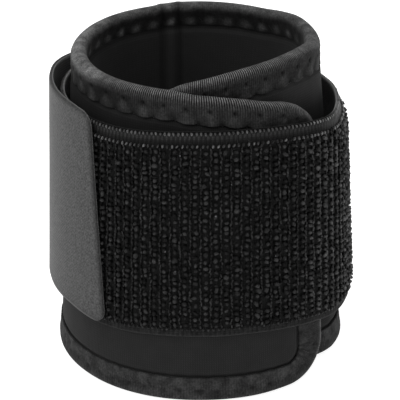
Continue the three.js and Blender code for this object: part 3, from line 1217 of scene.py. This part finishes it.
    def on_rim(self, line: Outline, stretch: Span) -> Array:
        """How far each station belongs to a stretch of the top rim, as a column."""
        return (line.upper * window(self.panel.winding.angle(line.x), *stretch))[:, None]

    def inner_painted_shading(self, line: Outline, reach: Array, fan: Array) -> Array:
        """Tone of the face inside the wrap: painted shade below the fold, painted light on the fold and on
        the puffs.

        Args:
            line: The outline's stations.
            reach: Distances in from the fold.
            fan: Share of fan at each point.

        Returns:
            The tone at each point.
        """
        # Painted light at the fold and on the puffs, painted shade below the fold.
        tone = lerp(1.6, 0.24, smooth(reach, 0.0, 2.0)) * (1.0 + 6.0 * fan)
        return tone * self.panel.winding.crease_painted_shade(line.x)[:, None]

    def outer_painted_shading(self, line: Outline, reach: Array, fan: Array) -> Array:
        """Tone of the outer face: painted highlight over the fold's crest, painted shade towards the seam,
        painted light on the puffs and at the ends' fold.

        Args:
            line: The outline's stations.
            reach: Distances in from the fold.
            fan: Share of fan at each point.

        Returns:
            The tone at each point.
        """
        left = self.on_rim(line, self.left_side)
        right = self.on_rim(line, self.right_turn)
        lower = line.lower[:, None]
        # Painted shade low on the face, deepest at the left side; painted light on the puffs and at the
        # ends' fold.
        deep = lerp(0.56, 0.24, left) + 0.25 * right
        wide = 0.9 * np.maximum(self.on_rim(line, self.left_turn), right)
        tone = lerp(2.0, 0.80, smooth(reach, 0.2 + wide, 1.1 + wide))
        tone = lerp(tone, deep, smooth(reach, 0.9 + wide, 2.5 + wide))
        tone = tone * (1.0 + lerp(0.5, 2.0, left) * fan)
        tone = lerp(tone, 0.70, lower) * (1.0 + 0.6 * lower * fan)
        return lerp(tone, lerp(2.8, 0.62, smooth(reach, 1.1, 2.0)), line.end[:, None])

    def relief(self, line: Outline, reach: Array, lap: Array, sewn: Array | float,
               inside: bool) -> tuple[Array, Array, Array]:
        """Half thickness over the tape, its puffed fans and the painted shade in its needle holes and in
        the notches between puffs.

        Args:
            line: The stitch's phase and repeat, and the outline's directions.
            reach: Distances in from the fold.
            lap: The tape's full reach.
            sewn: How deeply the stitch pulls.
            inside: Whether this is the face inside the wrap.

        Returns:
            Half thickness in millimetres, share of fan and share of painted shade.
        """
        full = self.panel.winding.roll.middle
        lower = line.lower[..., None]
        run = lerp(self.high_crest, self.low_crest, lower)
        rise = np.clip(reach / run, 0.0, 1.0)
        half = full * np.sqrt(np.clip(1.0 - (1.0 - rise) ** 2, 0.0, 1.0))
        half = half - self.sink * lerp(1.0, 0.6, lower) * smooth(reach, 0.9, 0.9 * lap)
        phase = line.phase + (self.inner_phase if inside else 0.0)
        offset = np.abs((phase + 0.5) % 1.0 - 0.5)[..., None] * line.repeat[..., None]
        row = self.outer_row * lap
        past = reach - row
        if inside:
            fan = bell(offset, 0.0, 1.15) * bell(reach, lap - 1.15, 0.9)
        else:
            fan = bell(offset, 0.0, 0.45 + 0.42 * np.clip(past, 0.0, 3.0)) * smooth(past, 0.15, 0.9)
        hole = bell(offset, 0.0, self.pit_width) * bell(reach, row, self.pit_width)
        between = bell(line.repeat[..., None] / 2 - offset, 0.0, 0.6)
        notch = between * smooth(reach, 0.70 * lap, 0.96 * lap)
        share = self.inner_pit_share if inside else 1.0
        half = half + sewn * (self.puff * fan - share * self.pit * hole - self.notch * notch)
        pull = sewn * 1.6
        # Painted shade in the needle holes and the notches between puffs.
        dark = share * np.clip(pull, 0.6, 1.0) * (0.9 * hole + 0.55 * notch)
        return half, np.clip(pull, 0.0, 1.0) * fan, np.clip(dark, 0.0, 0.95)

    def build(self) -> bpy.types.Object:
        """Build the tape as one closed loop of its folded section.

        Returns:
            The tape's object.
        """
        line = self.outline()
        lap = self.laps(line)
        out = self.face(line, lap, inside=False)
        back = self.face(line, lap * self.inner_share, inside=True)
        rest = self.panel.pinched / 2 + 0.02
        under = []
        for face in (out, back):
            last = face.reach[:, -1:]
            reach = np.concatenate((last, last * 0.5, last * 0 + 1.1, last * 0 + self.tape), axis=1)
            lift = np.maximum(face.half[:, -1:] - self.tape, rest)
            under.append((reach, lift * np.array([[1.0, 1.0, 0.9, 0.0]])))
        (out_reach, out_lift), (back_reach, back_lift) = under

        def run(outer: Array, inner: Array, below: Array, above: Array) -> Array:
            """Values round the section: outer face, inner face, then back underneath."""
            parts = (outer[:, ::-1], inner[:, 1:], below, above[:, -2::-1], outer[:, -1:])
            return np.concatenate(parts, axis=1)

        reach = run(out.reach, back.reach, back_reach, out_reach)
        depth = run(out.half, -back.half, -back_lift, out_lift)
        signed = run(out.reach, -back.reach, -back_reach, out_reach)
        # Half tone on the tape's tucked underside is painted shade; its ribs are halved there too.
        dim = np.full_like(out_reach, 0.5)
        tone = run(out.tone, back.tone, dim, dim)
        ribs = run(out.ribs, back.ribs, dim, dim)
        middle = self.panel.winding.roll.middle
        x = line.x[:, None] + line.in_x[:, None] * reach
        y = line.y[:, None] + line.in_y[:, None] * reach
        points = self.panel.winding.place(x, y, middle + depth)
        flat = np.stack((np.broadcast_to(line.s[:, None], signed.shape), signed), axis=-1)
        rows, columns = signed.shape
        quads = strip_quads(rows, columns, ring=True)
        quads[quads % columns == columns - 1] -= columns - 1
        cloth = Cloth()
        cloth.add(points, quads, flat, tone, ribs)
        return cloth.make("binding_tape")

    def stitches(self) -> bpy.types.Object:
        """Build the zigzag threads on both faces as small bent tubes.

        Returns:
            The threads' object.
        """
        line = self.outline()
        repeats = round(line.phase[-1])
        steps = np.linspace(0.0, 1.0, 6)
        sides = 6
        cloth = Cloth()
        ring = np.radians(np.arange(sides) * 360 / sides)
        phase = (np.arange(repeats * 2)[:, None] + steps[None, :]) * 0.5
        names = ("s", "x", "y", "in_x", "in_y", "repeat")
        values = [np.interp(phase, line.phase, getattr(line, name), period=repeats) for name in names]
        thread = Outline(*values, phase)
        full_lap = self.laps(thread)
        middle = self.panel.winding.roll.middle
        across = np.cos(ring) * self.thread_radius
        out = np.sin(ring) * self.thread_radius
        count, stations = thread.s.shape
        tube = tube_quads(stations, sides)
        for side, share in ((1.0, 1.0), (-1.0, self.inner_share)):
            lap = full_lap * share
            row = self.zigzag(phase, lap)
            half, _, _ = self.relief(thread, row[..., None], lap[..., None], self.thread_pull, side < 0)
            half = half[..., 0] + lerp(*self.thread_sink, np.sin(steps * math.pi))[None, :]
            x = (thread.x + thread.in_x * row)[..., None] + across * thread.in_y[..., None] * 0.9
            y = (thread.y + thread.in_y * row)[..., None] - across * thread.in_x[..., None] * 0.9
            points = self.panel.winding.place(x, y, middle + side * (half[..., None] + out))
            faces = tube if side < 0 else tube[:, ::-1]
            quads = (np.arange(count)[:, None, None] * stations * sides + faces[None]).reshape(-1, 4)
            flat = np.stack(np.broadcast_arrays(thread.s[..., None], across), axis=-1)
            cloth.add(points, quads, flat, np.ones(points.shape[:-1]))
        return cloth.make("binding_stitches")

    def dress(self, tape: bpy.types.Object, threads: bpy.types.Object, wardrobe: Wardrobe) -> None:
        """Dress the tape and its stitches, and seat them on the frame.

        Args:
            tape: The folded tape.
            threads: Its stitches.
            wardrobe: Where the finishes come from.
        """
        wardrobe.dress(tape, RIBBED_TAPE)
        wardrobe.dress(threads, BLACK_THREAD)
        for piece in (tape, threads):
            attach(piece, "root")
        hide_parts("edge_binding")
        length = float(self.outline().s[-1]) * MM


@dataclass
class Copies:
    """Places, half sizes, turns and tones of many copies of a small shape on a strap."""

    along: Array
    up: Array
    depth: Array
    size: Array
    tilt: Array
    tone: Array


@dataclass
class PileStrap:
    """Elastic strap: a woven ground with upright columns of pile loops between selvedges."""

    winding: StrapWinding
    length: float = 202.0
    ground: float = 0.95
    low_selvedge: float = 2.0
    high_selvedge: float = 3.1
    column_pitch: float = 2.3
    loop_pitch: float = 1.55
    loop_size: tuple[float, float, float] = (0.56, 0.50, 0.64)
    pile_top: float = 2.1
    cord_size: tuple[float, float, float] = (0.27, 0.52, 0.36)
    cord_depth: float = 1.12
    hair_radius: float = 0.028
    hair_root: float = 1.35
    bead_painted_shading: tuple[float, float] = (0.35, 1.4)
    right_painted_sheen: float = 2.2
    free_edge: Span = ((318, 348), (400, 440))
    rib_pitch: float = 1.05
    hairs: int = 1500
    seed: int = 7

    @property
    def field_height(self) -> float:
        """Height of the pile between the selvedges."""
        return self.winding.width - self.low_selvedge - self.high_selvedge

    def build_ground(self) -> bpy.types.Object:
        """Build the woven ground as a closed sheet, ribbed in its margins.

        Returns:
            The ground's object.
        """
        width = self.winding.width
        x = np.linspace(0.0, self.length, round(self.length / self.rib_pitch * 4) + 1)
        y = spaced(width, self.high_selvedge + 0.9, 0.33, 2.0)
        columns, rows = np.meshgrid(x, y)
        from_high = width - rows
        past_low = smooth(rows, self.low_selvedge - 0.3, self.low_selvedge + 0.3)
        past_high = smooth(from_high, self.high_selvedge - 0.3, self.high_selvedge + 0.3)
        margin = 1.0 - past_low * past_high
        rib = np.cos(columns / self.rib_pitch * 2 * math.pi)
        edge = smooth(np.minimum(rows, from_high), 0.0, 0.45)
        upper = smooth(rows, 0.4 * width, 0.6 * width)
        relief = margin * rib * lerp(0.02, 0.10, upper)
        top = self.ground * lerp(0.45, 1.0, edge) + relief * edge - 0.15 * (1.0 - margin)
        outer = self.winding.place(columns, rows, top)
        inner = self.winding.place(columns, rows, 0.20 * (1.0 - edge))
        flat = np.stack((columns, rows), axis=-1)
        tone, back = self.ground_tone_and_painted_light(columns, rows, margin, rib)
        calm = np.full_like(tone, 0.35)
        cloth = Cloth()
        two_faced(outer, inner, flat, np.stack((tone, back)), cloth, np.stack((calm, calm)))
        return cloth.make("strap_ground")

    def ground_tone_and_painted_light(self, columns: Array, rows: Array, margin: Array, rib: Array) -> tuple[Array, Array]:
        """Tones of the ground's two faces, with painted light and shade: painted shade along the top edge,
        painted sheen on the free right edge, and painted light at the left end and on the inner face where
        it shows into the gap.

        Args:
            columns: Distances along the strap.
            rows: Heights above its low edge.
            margin: How far each point belongs to a woven margin.
            rib: The margin's ribs, -1 to 1.

        Returns:
            Tones of the outer and the inner face.
        """
        width = self.winding.width
        from_high = width - rows
        angle = self.winding.angle(columns)
        free = window(angle, *self.free_edge)
        at_left = 1.0 - smooth(angle, 205, 222)
        shown = np.maximum(smooth(angle, 325, 345), at_left)
        ribbed = bell(from_high, 1.15, 0.65)
        shaded = lerp(0.45, 1.35, ribbed) + 0.7 * rib * ribbed
        # Painted sheen on the free right edge.
        rough = 6.5 + 2.6 * rib + 2.4 * lumps(columns, rows, 0.8, 9)
        shaded = lerp(shaded, rough, free * (1.0 - smooth(from_high, 2.0, 3.6)))
        # Painted light at the left end.
        shaded = np.maximum(shaded, 5.0 * at_left)
        # Painted shade along the top edge, except where it shows.
        shaded = shaded * lerp(lerp(0.15, 1.0, shown), 1.0, smooth(from_high, 0.3, 0.8))
        hem = lerp(1.3, 0.85, smooth(rows, 0.0, 0.7)) + 0.25 * rib + 0.35 * lumps(columns, rows, 0.7, 3)
        shaded = lerp(hem, shaded, smooth(rows, 0.4 * width, 0.6 * width))
        # Inner face: painted light, 14 times its colour where it shows into the gap and 3 times lower down,
        # with painted shade at the top edge.
        back = lerp(lerp(0.3, 14.0, shown), lerp(3.0, 14.0, shown), smooth(from_high, 0.6, 2.5))
        return lerp(0.60, shaded, margin), back

    def scatter(self, name: str, copies: Copies, rough: float) -> bpy.types.Object:
        """Copy a small bead to many places on the strap, as one mesh.

        Args:
            name: The piece's name.
            copies: Where the copies go, and their sizes, turns and tones.
            rough: How unevenly each copy is pushed in and out, as a share of its size.

        Returns:
            The mesh object.
        """
        shape = rounded_bead()
        count = len(copies.along)
        chance = np.random.default_rng(self.seed + len(name))
        uneven = 1.0 + chance.normal(0, 1, (count, len(shape.points), 1)) * rough
        points = shape.points[None] * copies.size[:, None, :] * uneven
        cos = np.cos(copies.tilt)[:, None]
        sin = np.sin(copies.tilt)[:, None]
        x = copies.along[:, None] + points[..., 0] * cos - points[..., 1] * sin
        y = copies.up[:, None] + points[..., 0] * sin + points[..., 1] * cos
        placed = self.winding.place(x, y, copies.depth[:, None] + points[..., 2])
        quads = np.arange(count)[:, None, None] * len(shape.points) + shape.quads[None]
        # Painted light on the bead tops and painted shade at their bases.
        lit = lerp(*self.bead_painted_shading, smooth(shape.points[:, 2], 0.0, 0.95))
        # Painted sheen on the pile towards the right side.
        at_right = smooth(self.winding.angle(copies.along), 300, 345)
        tone = copies.tone * (1.0 + self.right_painted_sheen * at_right)
        cloth = Cloth()
        cloth.add(placed, quads.reshape(-1, 4), np.stack((x, y), axis=-1), tone[:, None] * lit[None, :])
        return cloth.make(name)

    def wander(self, chance: np.random.Generator, count: int, up: Array, swing: float) -> Array:
        """Slow sideways wander of each upright column, in millimetres.

        Args:
            chance: The source of chance.
            count: Number of columns.
            up: Heights, with a first axis of columns.
            swing: Size of the wander.

        Returns:
            The wander at each height.
        """
        start = chance.uniform(0, 2 * math.pi, (2, count, 1))
        length = chance.uniform(5.0, 14.0, (2, count, 1))
        return swing * (np.sin(up / length[0] * 2 * math.pi + start[0])
                        + 0.6 * np.sin(up / length[1] * 4 * math.pi + start[1]))

    def uneven_heights(self, chance: np.random.Generator, columns: int, count: int) -> Array:
        """Heights of the knots in each column, unevenly spaced over the pile's field.

        Args:
            chance: The source of chance.
            columns: Number of columns.
            count: Number of knots in a column.

        Returns:
            The heights, with a first axis of columns.
        """
        steps = chance.uniform(0.72, 1.28, (columns, count + 1))
        heights = np.cumsum(steps, axis=1)
        return self.low_selvedge + self.field_height * heights[:, :-1] / heights[:, -1:]

    def build_loops(self) -> bpy.types.Object:
        """Build the pile loops: columns of uneven knots of yarn.

        Returns:
            The loops' object.
        """
        chance = np.random.default_rng(self.seed)
        columns = round(self.length / self.column_pitch)
        loops = round(self.field_height / self.loop_pitch)
        up = self.uneven_heights(chance, columns, loops)
        along = (np.arange(columns)[:, None] + 0.5) * self.length / columns
        along = along + self.wander(chance, columns, up, 0.10) + chance.normal(0, 0.09, up.shape)
        count = along.size
        size = np.array(self.loop_size)[None] * chance.uniform(0.75, 1.2, (count, 3))
        size[:, 1] *= chance.choice((0.8, 1.0, 1.0, 1.35), count)
        tone = chance.uniform(0.5, 1.3, count) * chance.choice((0.55, 1.0, 1.0, 1.0), count)
        depth = self.pile_top - size[:, 2] + chance.normal(0, 0.05, count)
        tilt = chance.normal(0, 0.6, count)
        copies = Copies(along.ravel(), up.ravel(), depth, size, tilt, tone)
        return self.scatter("pile_loops", copies, rough=0.13)

    def build_cords(self) -> bpy.types.Object:
        """Build the thin knotted cords between the columns of loops.

        Returns:
            The cords' object.
        """
        chance = np.random.default_rng(self.seed + 1)
        columns = round(self.length / self.column_pitch) + 1
        knots = round(self.field_height / (self.loop_pitch / 2))
        up = self.uneven_heights(chance, columns, knots)
        side = np.where(np.arange(knots) % 2 == 0, 0.07, -0.07)[None, :]
        along = np.arange(columns)[:, None] * self.length / (columns - 1) + side
        along = along + self.wander(chance, columns, up, 0.11) + chance.normal(0, 0.05, up.shape)
        along = np.clip(along, 0.3, self.length - 0.3)
        count = along.size
        size = np.array(self.cord_size)[None] * chance.uniform(0.75, 1.25, (count, 3))
        slow = 0.75 + 0.35 * self.wander(chance, columns, up * 1.3, 1.0).ravel() / 1.6
        tone = chance.uniform(0.55, 1.5, count) * slow
        depth = self.cord_depth + chance.normal(0, 0.05, count)
        tilt = chance.normal(0, 0.25, count)
        copies = Copies(along.ravel(), up.ravel(), depth, size, tilt, tone)
        return self.scatter("pile_cords", copies, rough=0.10)

    def build_edge_nubs(self) -> bpy.types.Object:
        """Build the turned yarns along the top cut edge and along the pile's two borders.

        Returns:
            The yarns' object.
        """
        chance = np.random.default_rng(self.seed + 2)
        width = self.winding.width
        turns = np.arange(self.rib_pitch / 2, self.length, self.rib_pitch)
        columns = round(self.length / self.column_pitch) * 2
        border = (np.arange(columns) + 0.5) * self.length / columns
        rows = (
            (turns, width - 0.50, (0.40, 0.47, 0.36), 0.66, 0.4, (0.45, 1.15)),
            (border, self.low_selvedge + 0.1, (0.30, 0.40, 0.34), 1.12, 0.2, (0.05, 0.3)),
            (border, width - self.high_selvedge - 0.05, (0.27, 0.46, 0.38), 1.25, -0.3, (0.0, 1.45)),
        )
        places, heights, sizes, depths, tilts, tones = zip(*rows)
        counts = [len(place) for place in places]
        along = np.concatenate(places)
        up, depth, tilt = (np.repeat(values, counts) for values in (heights, depths, tilts))
        size = np.repeat(sizes, counts, axis=0)
        tilt = tilt + chance.normal(0, 0.2, len(along))
        tone = np.concatenate([chance.uniform(*span, count) for span, count in zip(tones, counts)])
        size = size * chance.uniform(0.82, 1.15, size.shape)
        along = np.clip(along + chance.normal(0, 0.06, len(along)), 0.4, self.length - 0.4)
        copies = Copies(along, up, depth, size, tilt, tone)
        return self.scatter("strap_edge_yarns", copies, rough=0.06)

    def build_fuzz(self) -> bpy.types.Object:
        """Build stray fibres that stand off the pile as thin arched tubes.

        Returns:
            The fibres' object.
        """
        chance = np.random.default_rng(self.seed + 3)
        steps = np.linspace(0.0, 1.0, 5)
        sides = 4
        count = self.hairs
        along = chance.uniform(1.5, self.length - 1.5, (count, 1, 1))
        up = chance.uniform(self.low_selvedge, self.winding.width - 1.0, (count, 1, 1))
        turn = chance.uniform(0, 2 * math.pi, (count, 1, 1))
        bend = chance.normal(0, 0.9, (count, 1, 1))
        length = chance.uniform(0.8, 2.2, (count, 1, 1))
        height = chance.uniform(0.25, 0.75, (count, 1, 1))
        ring = np.radians(np.arange(sides) * 90.0)[None, None, :]
        s = steps[None, :, None]
        radius = self.hair_radius * np.sin(np.clip(s, 0.08, 0.92) * math.pi) ** 0.5
        heading = turn + bend * s
        x = along + length * s * np.cos(heading) + radius * np.cos(ring) * np.sin(heading)
        y = up + length * s * np.sin(heading) - radius * np.cos(ring) * np.cos(heading)
        x = np.clip(x, 0.2, self.length - 0.2)
        y = np.clip(y, 0.4, self.winding.width - 0.3)
        depth = self.hair_root + height * np.sin(s * math.pi * 0.9) + radius * np.sin(ring)
        points = self.winding.place(x, y, depth)
        tube = tube_quads(len(steps), sides)
        quads = (np.arange(count)[:, None, None] * len(steps) * sides + tube[None]).reshape(-1, 4)
        tone = np.broadcast_to(chance.uniform(0.3, 1.6, (count, 1, 1)), x.shape)
        cloth = Cloth()
        cloth.add(points, quads, np.stack((x, y), axis=-1), tone)
        return cloth.make("stray_fibres")

    def dress(self, pieces: dict[Finish, list[bpy.types.Object]], wardrobe: Wardrobe) -> None:
        """Dress the strap's pieces and seat them on the frame.

        Args:
            pieces: The pieces by finish, the ground first.
            wardrobe: Where the finishes come from.
        """
        for finish, group in pieces.items():
            for piece in group:
                wardrobe.dress(piece, finish)
                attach(piece, "root")
        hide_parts("elastic_strap")


@dataclass
class HookTab:
    """Smooth grey tab in line with the strap, with a dark hook side on its inner face."""

    winding: StrapWinding
    start: float = 202.3
    length: float = 69.0
    thickness: float = 1.0
    backing: float = 0.35
    corner_radius: float = 3.0
    slant: float = 4.7

    def grid(self, inset: float) -> tuple[Array, Array]:
        """Lay the tab's grid of points out flat.

        Args:
            inset: How far it is drawn in from the tab's outline.

        Returns:
            Distances along the strap and heights, both with rows first.
        """
        width = self.winding.width
        x = np.concatenate((np.linspace(inset, self.length - 3.0, 110)[:-1],
                            self.length - np.linspace(3.0, inset, 12)))
        y = np.linspace(inset, width - inset, 72)
        columns, rows = np.meshgrid(x, y)
        cut = corner_cut(self.length - inset - columns, self.corner_radius)
        up = cut + inset + (rows - inset) / (width - 2 * inset) * (width - 2 * inset - 2 * cut)
        along = columns * (1 - self.slant * up / width / self.length)
        return along + self.start, up

    def build_back(self) -> bpy.types.Object:
        """Build the tab's smooth outer cloth, with rounded edges, a faint sway and painted shade along its
        edges.

        Returns:
            The cloth's object.
        """
        along, up = self.grid(0.0)
        from_edge = np.minimum(up, self.winding.width - up)
        ends = self.start + self.length * (1 - self.slant * up / self.winding.width / self.length)
        from_edge = np.minimum(from_edge, ends - along)
        edge = smooth(from_edge, 0.0, 0.7)
        sway = 0.12 * np.sin(along / 11.0 + up / 17.0) + 0.05 * np.sin(up / 3.7) * np.sin(along / 5.1)
        top = self.thickness * lerp(0.8, 1.0, edge) + sway * 0.5 * edge
        outer = self.winding.place(along, up, top)
        inner = self.winding.place(along, up, np.full_like(top, self.backing))
        cloth = Cloth()
        flat = np.stack((along, up), axis=-1)
        # Painted shade along the tab's edges and over its low side.
        low = lerp(0.86, 1.0, smooth(up, 0.0, 6.0)) * lerp(0.55, 1.0, smooth(up, 0.2, 1.4))
        tone = lerp(0.55, 1.0, smooth(from_edge, 0.0, 1.0)) * low
        two_faced(outer, inner, flat, np.stack((tone, tone)), cloth)
        return cloth.make("tab_back")

    def build_hooks(self) -> bpy.types.Object:
        """Build the hook side as a thin dark sheet.

        Returns:
            The sheet's object.
        """
        along, up = self.grid(0.12)
        outer = self.winding.place(along, up, np.full_like(along, self.backing - 0.02))
        inner = self.winding.place(along, up, np.full_like(along, 0.02))
        cloth = Cloth()
        flat = np.stack((along, up), axis=-1)
        two_faced(outer, inner, flat, np.ones((2, *along.shape)), cloth)
        return cloth.make("tab_hooks")

    def dress(self, back: bpy.types.Object, hooks: bpy.types.Object, wardrobe: Wardrobe) -> None:
        """Dress the tab's two sides and seat them on the frame.

        Args:
            back: The smooth outer cloth.
            hooks: The hook side.
            wardrobe: Where the finishes come from.
        """
        wardrobe.dress(back, TAB_BACK)
        wardrobe.dress(hooks, TAB_HOOKS)
        for piece in (back, hooks):
            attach(piece, "root")
        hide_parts("hook_tab")


@dataclass(frozen=True)
class PhotoCamera:
    """The photograph's view: where the camera stands and how long its lens is."""

    distance: float = 0.600
    elevation: float = 25.46
    focal_pixels: float = 2570.56
    frame_pixels: float = 400.0
    sensor: float = 36.0
    target: tuple[float, float, float] = (-0.000109, -0.000085, 0.0343)

    def build(self) -> None:
        """Make the camera and set it as the scene's own."""
        data = bpy.data.cameras.new("photo_camera")
        data.sensor_width = self.sensor
        data.lens = self.focal_pixels / self.frame_pixels * self.sensor
        camera = bpy.data.objects.new("photo_camera", data)
        bpy.context.scene.collection.objects.link(camera)
        rise = math.radians(self.elevation)
        back = Vector((0.0, -math.cos(rise), math.sin(rise)))
        camera.location = Vector(self.target) + back * self.distance
        camera.rotation_euler = (-back).to_track_quat("-Z", "Y").to_euler()
        bpy.context.scene.camera = camera


@dataclass(frozen=True)
class SoftLight:
    """One large soft lamp, aimed at the wrap."""

    name: str
    azimuth: float
    elevation: float
    distance: float
    size: float
    power: float

    def build(self) -> None:
        """Make the lamp."""
        data = bpy.data.lights.new(self.name, "AREA")
        data.shape = "DISK"
        data.size = self.size
        data.energy = self.power
        lamp = bpy.data.objects.new(self.name, data)
        bpy.context.scene.collection.objects.link(lamp)
        turn = math.radians(self.azimuth)
        rise = math.radians(self.elevation)
        away = Vector((math.cos(turn) * math.cos(rise), math.sin(turn) * math.cos(rise), math.sin(rise)))
        aim = Vector((0.0, 0.0, 0.035))
        lamp.location = aim + away * self.distance
        lamp.rotation_euler = (-away).to_track_quat("-Z", "Y").to_euler()


@dataclass
class Studio:
    """Pale floor, pale surroundings and soft lamps."""

    floor_size: float = 6.0
    floor_grey: float = 0.55
    floor_glow: float = 0.86
    room_light: float = 0.5
    lamps: tuple[SoftLight, ...] = (
        SoftLight("key", azimuth=215.0, elevation=50.0, distance=0.9, size=0.8, power=4.2),
        SoftLight("fill", azimuth=320.0, elevation=35.0, distance=1.0, size=0.8, power=1.2),
        SoftLight("top", azimuth=90.0, elevation=75.0, distance=0.9, size=0.7, power=2.6),
    )

    def build(self) -> None:
        """Make the floor, the world and the lamps."""
        bpy.ops.object.select_all(action="DESELECT")
        bpy.ops.mesh.primitive_plane_add(size=self.floor_size)
        floor = bpy.context.object
        floor.name = "floor"
        paint = bpy.data.materials.new("floor_paint")
        paint.use_nodes = True
        shader = paint.node_tree.nodes["Principled BSDF"]
        shader.inputs["Base Color"].default_value = grey(self.floor_grey)
        shader.inputs["Roughness"].default_value = 0.9
        shader.inputs["Emission Color"].default_value = grey(1.0)
        shader.inputs["Emission Strength"].default_value = self.floor_glow
        floor.data.materials.append(paint)
        world = bpy.data.worlds.new("pale_room")
        bpy.context.scene.world = world
        world.use_nodes = True
        backdrop = world.node_tree.nodes["Background"]
        backdrop.inputs["Color"].default_value = grey(1.0)
        backdrop.inputs["Strength"].default_value = self.room_light
        bpy.context.scene.view_settings.view_transform = "Standard"
        for lamp in self.lamps:
            lamp.build()


def frame_shift() -> tuple[float, float]:
    """How far the fixed frame moved the wrap sideways to centre it, in millimetres.

    Returns:
        The shift to the right and to the back.
    """
    strap = StrapWinding(Roll())
    along, up = np.meshgrid(np.linspace(0.0, PileStrap.length, 400), np.linspace(0.0, strap.width, 30))
    in_pile = np.abs(up - strap.width / 2) < SOLID_PILE_WIDTH / 2
    thick = np.where(in_pile, strap.pile_thickness, SOLID_SELVEDGE)
    points = strap.place(along, up, thick).reshape(-1, 3)
    middle = (points.min(axis=0) + points.max(axis=0)) / 2
    low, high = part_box("elastic_strap")
    centre = (low + high) / 2
    return (centre.x - middle[0]) / MM, (centre.y - middle[1]) / MM


def main() -> None:
    """Build and dress the wrap on its fixed frame."""
    logging.basicConfig(level=logging.INFO, format="%(message)s")
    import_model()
    PhotoCamera().build()
    Studio().build()
    wardrobe = Wardrobe()
    roll = Roll(shift=frame_shift())
    LOG.info("frame shift: %.4f, %.4f mm", *roll.shift)

    panel = FoamPanel(PanelWinding(roll))
    foam = panel.build()
    panel.dress(foam, wardrobe)

    binding = EdgeBinding(panel)
    binding.dress(binding.build(), binding.stitches(), wardrobe)

    strap = PileStrap(StrapWinding(roll))
    strap_pieces = {
        STRAP_GROUND: [strap.build_ground()],
        PILE_YARN: [strap.build_loops(), strap.build_cords(), strap.build_fuzz()],
        EDGE_YARN: [strap.build_edge_nubs()],
    }
    strap.dress(strap_pieces, wardrobe)

    tab = HookTab(StrapWinding(roll))
    tab.dress(tab.build_back(), tab.build_hooks(), wardrobe)


if __name__ == "__main__":
    main()
